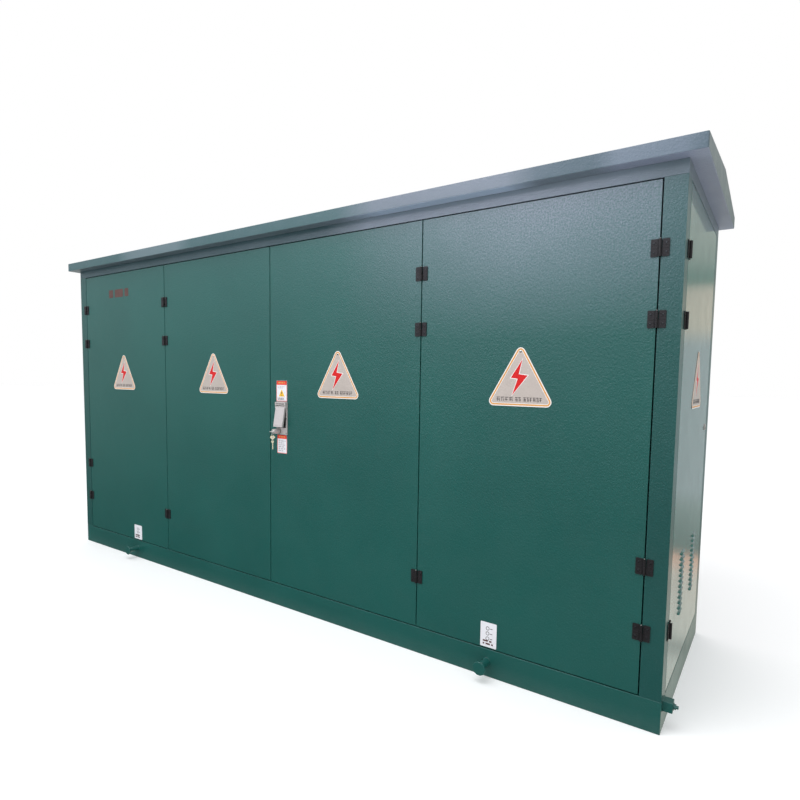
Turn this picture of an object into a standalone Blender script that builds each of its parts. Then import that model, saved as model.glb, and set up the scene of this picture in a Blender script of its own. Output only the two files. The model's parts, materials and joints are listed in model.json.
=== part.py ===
"""Pad-mounted transformer kiosk: a walk-up steel enclosure with its switchgear, transformer and LV board.

Metres, +Z up. The origin is the centre of the base's underside. The four-leaf front faces -Y, and the
vented end door used for the low-voltage side faces +X. Every piece is one named object. A hinged piece
has its origin on its own joint axis, and what is fixed to a door is parented to that door.
"""
import math

import bmesh
import bpy
from mathutils import Matrix, Vector

# Driving dimensions
WIDTH = 4.0
DEPTH = 1.0
BASE_HEIGHT = 0.120
OPENING_TOP = 1.947
WALL_TOP = 1.9965
POST_WIDTH = 0.075
DOOR_GAP = 0.005
DOOR_DEPTH = 0.030
SHEET = 0.003
TOUCH = 0.0003

# Roof
OVERHANG_END = 0.060
OVERHANG_FRONT = 0.055
FASCIA = 0.052
RIDGE_RISE = 0.054
SOFFIT_LAP = 0.050

# Door frame rebate: the stop that each door closes on, measured inwards from the wall face
STOP_DEPTH = 0.038
STOP_LAP = 0.026
SEAL_WIDTH = 0.018
SEAL_THICK = STOP_DEPTH - DOOR_DEPTH - 2 * TOUCH

# Base and top frames
FLANGE = 0.060
BASE_WALL = 0.006
LIFT_PIN_X = 1.32
LIFT_PIN_Z = 0.065
LIFT_PIN_REACH = 0.075

# Hinges: the pin stands just in front of the door face
HINGE_OUT = 0.0065
HINGE_SIZE = 0.060
HINGE_LEAF = 0.003
KNUCKLE = 0.0055
HINGE_PIN = 0.0024
HINGE_BORE = 0.0033
STUD = 0.004
STUD_SIDES = 8
STUD_FROM_PIN = 0.018
HOLE_PLAY = 0.0005
HINGE_TOP, HINGE_UPPER, HINGE_LOWER, HINGE_BOTTOM = 1.713, 1.472, 0.600, 0.358
POST_HINGES = (HINGE_TOP, HINGE_UPPER, HINGE_LOWER, HINGE_BOTTOM)
FOLD_HINGES = (HINGE_TOP, HINGE_UPPER, HINGE_BOTTOM)

# Warning plates
PLATE_SIDE = 0.293
PLATE_CORNER = 0.020
PLATE_BASE_Z = 1.152
PLATE_SHIFT = {"door_4": -0.011}
PLATE_THICK = 0.0015

# Lock of the third door
LOCK_X = (0.0545, 0.133)
LOCK_Z = (0.948, 1.123)
COVER_X = (0.0600, 0.1265)
COVER_Z = (0.988, 1.0925)
COVER_AXIS_Z = 1.0955
COVER_OPEN = math.radians(10)
KEY_X = 0.070
KEY_Z = 0.965
ROD_OFFSET = 0.022
ROD_HALF = 0.006
LOCK_SHAFT = 0.009

# Vents and quarter-turn locks of the end doors
VENT_COLUMNS = (-0.16, 0.16)
VENT_HALF = 0.034
VENT_LOW_Z = 0.335
VENT_PITCH = 0.022
VENT_ROWS = 12
END_LOCK_EDGE = 0.055
END_LOCK_Z = 1.050

# Inside
PARTITION_X = 0.755
INNER_Y = 0.455
CABLE_ENTRY_X = (1.15, 1.55)
CABLE_ENTRY_Y = (-0.10, 0.25)
TANK_X, TANK_Y, TANK_Z = 0.53, 0.20, (0.160, 1.060)
RAIL_X = 0.40
HV_BUSHING_X, HV_BUSHING_PITCH = -0.40, 0.160
LV_BUSHING_X, LV_BUSHING_PITCH, LV_BUSHING_MID = 0.38, 0.090, 0.040
SWITCH_X, SWITCH_Y, SWITCH_Z = (-1.80, -0.90), (-0.30, 0.35), (0.200, 1.300)
BOARD_X, BOARD_Y, BOARD_Z = (0.90, 1.80), (0.270, 0.330), (0.200, 1.800)
BREAKER_X, BREAKER_Y, BREAKER_Z = (1.003, 1.40), (-0.12, 0.2697), (1.05, 1.45)

HALF_W = WIDTH / 2
HALF_D = DEPTH / 2
FRONT_AXIS_Y = -HALF_D - HINGE_OUT
FRONT_AXIS_X = HALF_W - POST_WIDTH - DOOR_GAP / 2
END_AXIS_X = HALF_W + HINGE_OUT
END_AXIS_Y = -HALF_D + POST_WIDTH + DOOR_GAP / 2
LEAF_PITCH = FRONT_AXIS_X / 2
END_PITCH = -2 * END_AXIS_Y
DOOR_Z = (BASE_HEIGHT + DOOR_GAP, OPENING_TOP - DOOR_GAP)
CUT = 0.010  # how far a cutting tool reaches on each side of the sheet it goes through


def finish(name, colour, roughness, metallic=0.0):
    """A Principled material."""
    look = bpy.data.materials.new(name)
    look.use_nodes = True
    shader = look.node_tree.nodes["Principled BSDF"]
    shader.inputs["Base Color"].default_value = (*colour, 1.0)
    shader.inputs["Roughness"].default_value = roughness
    shader.inputs["Metallic"].default_value = metallic
    look.diffuse_color = (*colour, 1.0)
    return look


def on_axis(axis, a, b, c):
    """A point whose coordinate along the axis is c, and whose other two are a and b in X, Y, Z order."""
    return {"X": (c, a, b), "Y": (a, c, b), "Z": (a, b, c)}[axis]


def block(x, y, z):
    """A cuboid between (low, high) pairs."""
    spans = [sorted(span) for span in (x, y, z)]
    middle = Vector([(low + high) / 2 for low, high in spans])
    size = Matrix.Diagonal([high - low for low, high in spans] + [1])
    shape = bmesh.new()
    bmesh.ops.create_cube(shape, size=1, matrix=Matrix.Translation(middle) @ size)
    return shape


def prism(outline, axis, low, high):
    """An outline in the plane across the axis, extruded from low to high."""
    shape = bmesh.new()
    rings = [[shape.verts.new(on_axis(axis, a, b, c)) for a, b in outline] for c in (low, high)]
    for ring in rings:
        shape.faces.new(ring)
    for i in range(len(outline)):
        shape.faces.new((rings[0][i - 1], rings[0][i], rings[1][i], rings[1][i - 1]))
    return shape


def circle(a, b, radius, sides=12):
    """The corners of a regular polygon round (a, b)."""
    steps = [2 * math.pi * (i + 0.5) / sides for i in range(sides)]
    return [(a + radius * math.cos(t), b + radius * math.sin(t)) for t in steps]


def turned(outline, a, b, axis="Z", sides=12):
    """(radius, height) points turned round an axis through (a, b); it starts and ends on the axis."""
    shape = bmesh.new()
    rings = []
    for radius, height in outline:
        points = circle(a, b, radius, sides) if radius else [(a, b)]
        rings.append([shape.verts.new(on_axis(axis, p, q, height)) for p, q in points])
    for low, high in zip(rings, rings[1:]):
        for i in range(sides):
            corners = [low[i - 1], low[i]] if len(low) > 1 else [low[0]]
            corners += [high[i], high[i - 1]] if len(high) > 1 else [high[0]]
            shape.faces.new(corners)
    return shape


def rectangle_stack(loops, axis, ring=False):
    """Rectangles ((a0, a1), (b0, b1), c) across the axis, joined in order, then capped or closed to a ring."""
    shape = bmesh.new()
    levels = []
    for (a0, a1), (b0, b1), c in loops:
        corners = ((a0, b0), (a1, b0), (a1, b1), (a0, b1))
        levels.append([shape.verts.new(on_axis(axis, a, b, c)) for a, b in corners])
    pairs = list(zip(levels, levels[1:]))
    if ring:
        pairs.append((levels[-1], levels[0]))
    else:
        shape.faces.new(levels[0])
        shape.faces.new(levels[-1])
    for low, high in pairs:
        for i in range(4):
            shape.faces.new((low[i - 1], low[i], high[i], high[i - 1]))
    return shape


def inset(span, amount):
    return (span[0] + amount, span[1] - amount)


def tray(a, b, c, depth, lip, sheet=SHEET, axis="Y"):
    """A folded sheet tray: its face is at c, its edges turn back by depth, and their ends turn in by lip."""
    inward = math.copysign(sheet, depth)
    return rectangle_stack([
        (a, b, c), (a, b, c + depth),
        (inset(a, lip), inset(b, lip), c + depth), (inset(a, lip), inset(b, lip), c + depth - inward),
        (inset(a, sheet), inset(b, sheet), c + depth - inward), (inset(a, sheet), inset(b, sheet), c + inward),
    ], axis)


def folded_sheet(path, sheet=SHEET):
    """The outline of a sheet of constant thickness that is folded along a path."""
    points = [Vector(p) for p in path]
    sides = ([], [])
    for i, point in enumerate(points):
        runs = [(points[j + 1] - points[j]).normalized() for j in (i - 1, i) if 0 <= j < len(points) - 1]
        normals = [Vector((-run.y, run.x)) for run in runs]
        mitre = sum(normals, Vector((0, 0))).normalized()
        offset = mitre * (sheet / 2) / mitre.dot(normals[0])
        sides[0].append(point + offset)
        sides[1].append(point - offset)
    return [tuple(p) for p in sides[0] + sides[1][::-1]]


def bent_rod(path, y, radius, sides=12):
    """A round rod along (x, z) points in the plane at y."""
    points = [Vector(p) for p in path]
    shape = bmesh.new()
    rings = []
    for i, point in enumerate(points):
        run = (points[min(i + 1, len(points) - 1)] - points[max(i - 1, 0)]).normalized()
        across = Vector((-run.y, run.x))
        ring = []
        for u, v in circle(0, 0, radius, sides):
            place = point + across * u
            ring.append(shape.verts.new((place.x, y + v, place.y)))
        rings.append(ring)
    shape.faces.new(rings[0])
    shape.faces.new(rings[-1])
    for low, high in zip(rings, rings[1:]):
        for i in range(sides):
            shape.faces.new((low[i - 1], low[i], high[i], high[i - 1]))
    return shape


def merged(shapes):
    """Several shapes that don't touch, as one set of solids for a Boolean."""
    together = bmesh.new()
    for shape in shapes:
        mesh = bpy.data.meshes.new("part_of_a_tool")
        shape.to_mesh(mesh)
        shape.free()
        together.from_mesh(mesh)
        bpy.data.meshes.remove(mesh)
    return together


def new_object(name, shape, at, turn, parent):
    bmesh.ops.recalc_face_normals(shape, faces=shape.faces)
    mesh = bpy.data.meshes.new(name)
    shape.to_mesh(mesh)
    shape.free()
    thing = bpy.data.objects.new(name, mesh)
    bpy.context.scene.collection.objects.link(thing)
    thing.location = at
    thing.rotation_euler = turn
    thing.parent = parent
    return thing


def piece(name, shape, look, at=(0, 0, 0), turn=(0, 0, 0), parent=None, join=(), cut=(), smooth=False):
    """One named solid: a shape, what is joined to it and what is cut from it, in one local frame."""
    solid = new_object(name, shape, at, turn, parent)
    solid.data.materials.append(look)
    for kind, tools in (("UNION", join), ("DIFFERENCE", cut)):
        for number, tool in enumerate(tools):
            helper = new_object(f"{name}_{kind.lower()}_{number}", tool, at, turn, parent)
            helper.hide_render = True
            helper.display_type = "WIRE"
            step = solid.modifiers.new(helper.name, "BOOLEAN")
            step.operation = kind
            step.object = helper
    if smooth:
        solid.data.shade_smooth()
        solid.data.set_sharp_from_angle(angle=math.radians(50))
    return solid


def mirrored(outline, flip_a, flip_b):
    return [(a * flip_a, b * flip_b) for a, b in outline]


# Fixed steelwork

def stop_strips(z):
    """The upright strips of a ring frame that the doors and the rear wall close on."""
    clear_x = HALF_W - POST_WIDTH - STOP_LAP - 0.009
    clear_y = HALF_D - POST_WIDTH - STOP_LAP - 0.009
    strips = []
    for side in (-1, 1):
        y = (side * (HALF_D - STOP_DEPTH), side * (HALF_D - STOP_DEPTH - SHEET))
        x = (side * (HALF_W - STOP_DEPTH), side * (HALF_W - STOP_DEPTH - SHEET))
        strips.append(block((-clear_x, clear_x), y, z))
        strips.append(block(x, (-clear_y, clear_y), z))
    return merged(strips)


def channel_ring(low, high, wall, flange):
    """A channel section, open inwards, run round the whole enclosure."""
    section = [(0, low), (flange, low), (flange, low + wall), (wall, low + wall),
               (wall, high - wall), (flange, high - wall), (flange, high), (0, high)]
    return rectangle_stack(
        [((-HALF_W + d, HALF_W - d), (-HALF_D + d, HALF_D - d), z) for d, z in section], "Z", ring=True)


def stud_hole(a, z, axis, face):
    """A hole for a hinge stud through a sheet whose face is at a place along the axis."""
    return prism(circle(a, z, STUD + HOLE_PLAY, STUD_SIDES), axis, face - CUT, face + CUT)


def rod_slot(x, z):
    """The hole that a door's locking rod shoots through."""
    return block((x - 0.009, x + 0.009), (-HALF_D + 0.009, -HALF_D + 0.027), z)


def lifting_pins():
    """Round pins with an end disc, two on the front and two on the rear of the base."""
    shaft, disc, disc_thick = 0.0165, 0.029, 0.006
    pins = []
    for front in (-1, 1):
        root, tip = front * (HALF_D - BASE_WALL / 2), front * (HALF_D + LIFT_PIN_REACH)
        neck = tip - front * disc_thick
        outline = [(0, root), (shaft, root), (shaft, neck), (disc, neck), (disc, tip), (0, tip)]
        pins += [turned(outline, x, LIFT_PIN_Z, "Y", 12) for x in (-LIFT_PIN_X, LIFT_PIN_X)]
    return merged(pins)


def build_frame(green, rubber):
    beams = [block((x - 0.03, x + 0.03), (-HALF_D + 0.004, HALF_D - 0.004), (0.008, 0.1125))
             for x in (-PARTITION_X, -RAIL_X, RAIL_X, PARTITION_X)]
    earth_boss = block((HALF_W - 0.004, HALF_W + 0.034), (-0.477, -0.437), (0.080, 0.118))
    piece("base_frame", channel_ring(0, BASE_HEIGHT, BASE_WALL, FLANGE), green,
          join=(merged(beams), stop_strips((BASE_HEIGHT - 0.003, BASE_HEIGHT + STOP_LAP)), lifting_pins(),
                earth_boss),
          cut=(rod_slot(KEY_X - ROD_OFFSET, (BASE_HEIGHT - 0.02, BASE_HEIGHT + 0.01)),))
    piece("top_frame", channel_ring(OPENING_TOP, WALL_TOP, SHEET, 0.045), green,
          join=(stop_strips((OPENING_TOP - STOP_LAP, OPENING_TOP + 0.0015)),),
          cut=(rod_slot(KEY_X + ROD_OFFSET, (OPENING_TOP - 0.01, OPENING_TOP + 0.02)),))

    middle = SHEET / 2
    face, edge = middle, POST_WIDTH - middle
    stop, lap = STOP_DEPTH + middle, POST_WIDTH + STOP_LAP - middle
    section = [(lap, stop), (edge, stop), (edge, face), (face, face), (face, edge), (stop, edge), (stop, lap)]
    profile = folded_sheet([(HALF_W - a, HALF_D - b) for a, b in section])
    for end, side in (("left", -1), ("right", 1)):
        front_studs = [stud_hole(side * (FRONT_AXIS_X + STUD_FROM_PIN), z, "Y", -HALF_D) for z in POST_HINGES]
        end_studs = [stud_hole(END_AXIS_Y - STUD_FROM_PIN, z, "X", side * HALF_W) for z in FOLD_HINGES]
        z = (BASE_HEIGHT + TOUCH, OPENING_TOP - TOUCH)
        piece(f"post_front_{end}", prism(mirrored(profile, side, -1), "Z", *z), green,
              cut=(merged(front_studs + end_studs),))
        piece(f"post_rear_{end}", prism(mirrored(profile, side, 1), "Z", *z), green)

    louvres = [block((-0.32, 0.32), (HALF_D - 0.02, HALF_D + 0.02), (z, z + 0.010))
               for low in (0.35, 1.45) for z in [low + 0.030 * row for row in range(8)]]
    width = (-FRONT_AXIS_X + DOOR_GAP / 2, FRONT_AXIS_X - DOOR_GAP / 2)
    piece("rear_wall", tray(width, DOOR_Z, HALF_D, -STOP_DEPTH + TOUCH, SEAL_WIDTH), green,
          cut=(merged(louvres),))

    seal_y = (-HALF_D + DOOR_DEPTH + TOUCH, -HALF_D + DOOR_DEPTH + TOUCH + SEAL_THICK)
    piece("door_seal_front", seal(width, seal_y), rubber)
    end_width = (END_AXIS_Y + DOOR_GAP / 2, -END_AXIS_Y - DOOR_GAP / 2)
    for end, turn in (("left", -1), ("right", 1)):
        seal_in = (-HALF_W + DOOR_DEPTH + TOUCH, -HALF_W + DOOR_DEPTH + TOUCH + SEAL_THICK)
        piece(f"door_seal_{end}", seal(end_width, seal_in), rubber, turn=(0, 0, turn * math.pi / 2))


def seal(width, depth):
    """A rubber strip round a door opening, between the closed door and its stop."""
    outer_z = DOOR_Z
    inner, inner_z = inset(width, SEAL_WIDTH), inset(outer_z, SEAL_WIDTH)
    return rectangle_stack([(width, outer_z, depth[0]), (width, outer_z, depth[1]),
                            (inner, inner_z, depth[1]), (inner, inner_z, depth[0])], "Y", ring=True)


def build_roof(green):
    """A low gable roof with a straight fascia and a soffit under the eaves."""
    low = WALL_TOP + TOUCH
    eave, end = HALF_D + OVERHANG_FRONT, HALF_W + OVERHANG_END

    def gable(wall):
        return [(-eave + wall, low + wall), (eave - wall, low + wall), (eave - wall, low + FASCIA - wall / 2),
                (0, low + FASCIA + RIDGE_RISE - wall), (-eave + wall, low + FASCIA - wall / 2)]

    opening = block((-HALF_W + SOFFIT_LAP, HALF_W - SOFFIT_LAP), (-HALF_D + SOFFIT_LAP, HALF_D - SOFFIT_LAP),
                    (low - CUT, low + CUT))
    piece("roof", prism(gable(0), "X", -end, end), green,
          cut=(prism(gable(SHEET), "X", -end + SHEET, end - SHEET), opening))


# Doors and their hinges, each in a frame that stands on the hinge pin, with the wall face at +HINGE_OUT

def stud_holes(side, heights, pitch=0.0):
    """Holes for hinge studs, beside the pin at 0 or beside the next pin at pitch."""
    x = side * (pitch - STUD_FROM_PIN) if pitch else side * STUD_FROM_PIN
    return [stud_hole(x, z, "Y", HINGE_OUT) for z in heights]


def shaft_hole(x, z, radius):
    """A round hole through a door's sheet for a lock's shaft."""
    return prism(circle(x, z, radius + HOLE_PLAY, 12), "Y", HINGE_OUT - CUT, HINGE_OUT + CUT)


def hinge_row(name, side, heights, look, holds_pin, at, turn, parent, pitch=0.0):
    """One side of a row of hinges: leaves outside the sheet, studs through it and a strip behind it."""
    pin_x = side * pitch
    toward = -side if pitch else side
    leaf_y = (HINGE_OUT - TOUCH - HINGE_LEAF, HINGE_OUT - TOUCH)
    behind = HINGE_OUT + SHEET + TOUCH
    half = HINGE_SIZE / 2
    own = (-half, -TOUCH) if holds_pin else (TOUCH, half)
    strip = block((pin_x + toward * 0.011, pin_x + toward * 0.025), (behind, behind + 0.0025),
                  (min(heights) - half, max(heights) + half))
    studs, leaves, necks, knuckles, pins = [], [], [], [], []
    for z in heights:
        studs.append(prism(circle(pin_x + toward * STUD_FROM_PIN, z, STUD, STUD_SIDES), "Y",
                           leaf_y[0] + 0.001, behind + 0.001))
        leaves.append(block((pin_x + toward * 0.0065, pin_x + toward * half), leaf_y, (z - half, z + half)))
        necks.append(block((pin_x + toward * 0.002, pin_x + toward * 0.0080), inset(leaf_y, 0.0003),
                           (z + own[0] + 0.0008, z + own[1] - 0.0008)))
        knuckles.append(prism(circle(pin_x, 0, KNUCKLE), "Z", z + own[0], z + own[1]))
        if holds_pin:
            pins.append(prism(circle(pin_x, 0, HINGE_PIN, 10), "Z", z - 0.010, z + half - 0.003))
        else:
            pins.append(prism(circle(pin_x, 0, HINGE_BORE, 10), "Z", z - 0.001, z + half - 0.0025))
    joined = [merged(studs), merged(leaves), merged(necks), merged(knuckles)]
    removed = []
    (joined if holds_pin else removed).append(merged(pins))
    return piece(name, strip, look, at, turn, parent, join=joined, cut=removed, smooth=True)


def door_leaf(name, side, pitch, look, at, turn, parent, heights, next_heights=(), cuts=()):
    """A folded door tray with a stiffener down its middle; the leaf runs to +x or -x from its pin."""
    span = tuple(sorted((side * DOOR_GAP / 2, side * (pitch - DOOR_GAP / 2))))
    holes = stud_holes(side, heights)
    if next_heights:
        holes += stud_holes(side, next_heights, pitch)
    middle, back = side * pitch / 2, HINGE_OUT + SHEET
    hat = folded_sheet([(middle - 0.03, back - 0.001), (middle - 0.03, back + 0.016),
                        (middle + 0.03, back + 0.016), (middle + 0.03, back - 0.001)], 0.002)
    stiffener = prism(hat, "Z", DOOR_Z[0] + 0.04, DOOR_Z[1] - 0.04)
    return piece(name, tray(span, DOOR_Z, HINGE_OUT, DOOR_DEPTH, SEAL_WIDTH), look, at, turn, parent,
                 join=(stiffener,), cut=(merged(holes), *cuts))


def warning_plate(name, x, look, parent):
    """A triangular plate with round corners, on the face of a door."""
    outline = []
    corner_circle = PLATE_SIDE / math.sqrt(3) - 2 * PLATE_CORNER
    centre_z = PLATE_BASE_Z + corner_circle / 2 + PLATE_CORNER
    for corner in range(3):
        lean = math.radians(90 + 120 * corner)
        a, b = x + corner_circle * math.cos(lean), centre_z + corner_circle * math.sin(lean)
        for step in range(4):
            turn = lean + math.radians(-60 + 40 * step)
            outline.append((a + PLATE_CORNER * math.cos(turn), b + PLATE_CORNER * math.sin(turn)))
    face = HINGE_OUT - TOUCH
    piece(name, prism(outline, "Y", face - PLATE_THICK, face), look, parent=parent)


def vent_slots(side):
    """Two columns of twelve slots, low in an end door."""
    slots = []
    for column in VENT_COLUMNS:
        x = side * (END_PITCH / 2 + column)
        for row in range(VENT_ROWS):
            z = VENT_LOW_Z + VENT_PITCH * row
            slots.append(block((x - VENT_HALF, x + VENT_HALF), (HINGE_OUT - CUT, HINGE_OUT + CUT), (z, z + 0.007)))
    return merged(slots)


def end_lock(name, side, look, door):
    """A quarter-turn lock of an end door: a head outside, a shaft through the door and a cam behind the stop."""
    cam_y = HINGE_OUT + STOP_DEPTH + SHEET + 0.004
    head = [(0, 0.0020), (0.0130, 0.0020), (0.0150, 0.0040), (0.0150, HINGE_OUT - TOUCH),
            (LOCK_SHAFT, HINGE_OUT - TOUCH), (LOCK_SHAFT, cam_y + 0.010), (0, cam_y + 0.010)]
    cam = block((-0.011, 0.011), (cam_y, cam_y + 0.004), (-0.050, 0.012))
    at = (side * (END_PITCH - END_LOCK_EDGE), 0, END_LOCK_Z)
    piece(name, turned(head, 0, 0, "Y", 12), look, at, parent=door, join=(cam,), smooth=True)


def build_front_doors(green, black, alloy):
    """Two pairs of folding leaves: the outer leaf of each pair hangs on a post, the inner leaf on the outer."""
    rod_slots = []
    for offset, z in ((ROD_OFFSET, DOOR_Z[1]), (-ROD_OFFSET, DOOR_Z[0])):
        x = KEY_X + offset - LEAF_PITCH
        rod_slots.append(block((x - 0.008, x + 0.008), (HINGE_OUT + 0.010, HINGE_OUT + 0.026),
                               (z - 0.010, z + 0.010)))
    key_hole = shaft_hole(KEY_X - LEAF_PITCH, KEY_Z, LOCK_SHAFT)

    doors = {}
    for side, outer, inner, end, inner_cuts in (
            (1, "door_1", "door_2", "left", ()), (-1, "door_4", "door_3", "right", (merged(rod_slots), key_hole))):
        axis = (-side * FRONT_AXIS_X, FRONT_AXIS_Y, 0)
        hinge_row(f"hinge_pins_post_{end}", -side, POST_HINGES, black, True, axis, (0, 0, 0), None)
        outer_door = door_leaf(outer, side, LEAF_PITCH, green, axis, (0, 0, 0), None, POST_HINGES, FOLD_HINGES)
        hinge_row(f"hinge_sleeves_{outer}", side, POST_HINGES, black, False, (0, 0, 0), (0, 0, 0), outer_door)
        hinge_row(f"hinge_pins_{outer}", side, FOLD_HINGES, black, True, (0, 0, 0), (0, 0, 0), outer_door,
                  pitch=LEAF_PITCH)
        inner_door = door_leaf(inner, side, LEAF_PITCH, green, (side * LEAF_PITCH, 0, 0), (0, 0, 0), outer_door,
                               FOLD_HINGES, cuts=inner_cuts)
        hinge_row(f"hinge_sleeves_{inner}", side, FOLD_HINGES, black, False, (0, 0, 0), (0, 0, 0), inner_door)
        doors[outer], doors[inner] = outer_door, inner_door
        for door in (outer, inner):
            warning_plate(f"warning_plate_{door[-1]}", side * LEAF_PITCH / 2 + PLATE_SHIFT.get(door, 0), alloy,
                          doors[door])
    return doors


def build_end_doors(green, black, alloy, steel):
    for side, end in ((-1, "left"), (1, "right")):
        axis, turn = (side * END_AXIS_X, END_AXIS_Y, 0), (0, 0, side * math.pi / 2)
        hinge_row(f"hinge_pins_{end}_end", -side, FOLD_HINGES, black, True, axis, turn, None)
        lock_hole = shaft_hole(side * (END_PITCH - END_LOCK_EDGE), END_LOCK_Z, LOCK_SHAFT)
        door = door_leaf(f"door_{end}", side, END_PITCH, green, axis, turn, None, FOLD_HINGES,
                         cuts=(vent_slots(side), lock_hole))
        hinge_row(f"hinge_sleeves_door_{end}", side, FOLD_HINGES, black, False, (0, 0, 0), (0, 0, 0), door)
        warning_plate(f"warning_plate_{end}", side * END_PITCH / 2, alloy, door)
        end_lock(f"end_lock_{end}", side, steel, door)


def build_door_lock(door, steel, brass):
    """The third door's lock, in that door's frame: a plate with a barrel, a hinged cover, a key and two rods."""
    shift = -LEAF_PITCH
    x = (LOCK_X[0] + shift, LOCK_X[1] + shift)
    cover_x = (COVER_X[0] + shift, COVER_X[1] + shift)
    key_x = KEY_X + shift
    front = HINGE_OUT - TOUCH
    plate_face = front - 0.005
    cover_axis_y = plate_face - 0.006
    brow = block(x, (plate_face - 0.012, plate_face + 0.001), (COVER_AXIS_Z + 0.0085, LOCK_Z[1] - 0.002))
    ears = merged([block(ear, (plate_face - 0.011, plate_face + 0.001), (COVER_AXIS_Z - 0.006, COVER_AXIS_Z + 0.010))
                   for ear in ((x[0] + 0.0005, cover_x[0] - 0.0005), (cover_x[1] + 0.0005, x[1] - 0.0005))])
    barrel = prism(circle(key_x, KEY_Z, 0.0135, 16), "Y", plate_face - 0.038, plate_face + 0.001)
    pin_hole = prism(circle(cover_axis_y, COVER_AXIS_Z, 0.0025), "X", cover_x[0] - 0.0040, cover_x[1] + 0.0040)
    piece("lock_plate", block(x, (plate_face, front), LOCK_Z), steel, parent=door,
          join=(brow, ears, barrel),
          cut=(prism(circle(key_x, KEY_Z, 0.0093, 16), "Y", plate_face - 0.05, front + 0.01), pin_hole), smooth=True)

    hinge_bar = prism(circle(0, 0, 0.0040), "X", *inset(cover_x, 0.0005))
    pin = prism(circle(0, 0, 0.0021), "X", cover_x[0] - 0.0035, cover_x[1] + 0.0035)
    low, high = COVER_Z[0] - COVER_AXIS_Z, COVER_Z[1] - COVER_AXIS_Z
    cover = tray(cover_x, (low, high + 0.001), -0.0050, 0.0095, 0.0025, 0.0015)
    piece("lock_cover", cover, steel, (0, cover_axis_y, COVER_AXIS_Z), (-COVER_OPEN, 0, 0), door,
          join=(hinge_bar, pin), smooth=True)

    bow = [(-0.0120, -0.0015), (0.0120, -0.0015), (0.0120, 0.0015), (-0.0120, 0.0015)]
    tail = HINGE_OUT + 0.030
    plug = [(0, plate_face - 0.041), (LOCK_SHAFT, plate_face - 0.041), (LOCK_SHAFT, tail), (0, tail)]
    blade = prism(bow, "Y", plate_face - 0.061, plate_face - 0.040)
    cam_y = HINGE_OUT + 0.0247
    cam = prism(circle(0, 0, 0.030, 16), "Y", cam_y, cam_y + 0.003)
    piece("lock_key", turned(plug, 0, 0, "Y", 16), brass, (key_x, 0, KEY_Z), parent=door,
          join=(blade, cam), smooth=True)

    rod_y = (HINGE_OUT + 0.012, HINGE_OUT + 0.024)
    for name, offset, z in (("lock_rod_upper", ROD_OFFSET, (KEY_Z + 0.006, DOOR_Z[1] - 0.006)),
                            ("lock_rod_lower", -ROD_OFFSET, (DOOR_Z[0] + 0.006, KEY_Z - 0.006))):
        rod_x = key_x + offset
        piece(name, block((rod_x - ROD_HALF, rod_x + ROD_HALF), rod_y, z), steel, parent=door)


# Equipment inside

def build_floors(galvanised):
    floor_z = (BASE_HEIGHT + TOUCH, BASE_HEIGHT + TOUCH + SHEET)
    for side, name in ((-1, "floor_hv"), (1, "floor_lv")):
        inner, outer = PARTITION_X + 0.002, HALF_W - POST_WIDTH - STOP_LAP - 0.006
        hole = block([side * v for v in CABLE_ENTRY_X], CABLE_ENTRY_Y, (0, 0.2))
        piece(name, block((side * inner, side * outer), (-INNER_Y, INNER_Y), floor_z), galvanised, cut=(hole,))
    wall = SHEET / 2
    for name, x, hole_y, hole_z in (("partition_hv", -PARTITION_X, (-0.20, 0.20), (1.43, 1.55)),
                                    ("partition_lv", PARTITION_X, (-0.13, 0.21), (1.21, 1.32))):
        piece(name, block((x - wall, x + wall), (-INNER_Y, INNER_Y), (BASE_HEIGHT + TOUCH, 1.940)), galvanised,
              cut=(block((x - CUT, x + CUT), hole_y, hole_z),))


def bushing_bank(name, x, rows, base_z, outline, plate, look, sides=12):
    """Bushings in a row on their shared mounting plate."""
    half_x, thick = plate
    reach = half_x + (max(rows) - min(rows)) / 2
    middle = (max(rows) + min(rows)) / 2
    shape = block((x - half_x, x + half_x), (middle - reach, middle + reach), (base_z, base_z + thick))
    bodies = [turned([(radius, base_z + height) for radius, height in outline], x, y, "Z", sides) for y in rows]
    piece(name, shape, look, join=(merged(bodies),), smooth=True)


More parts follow.
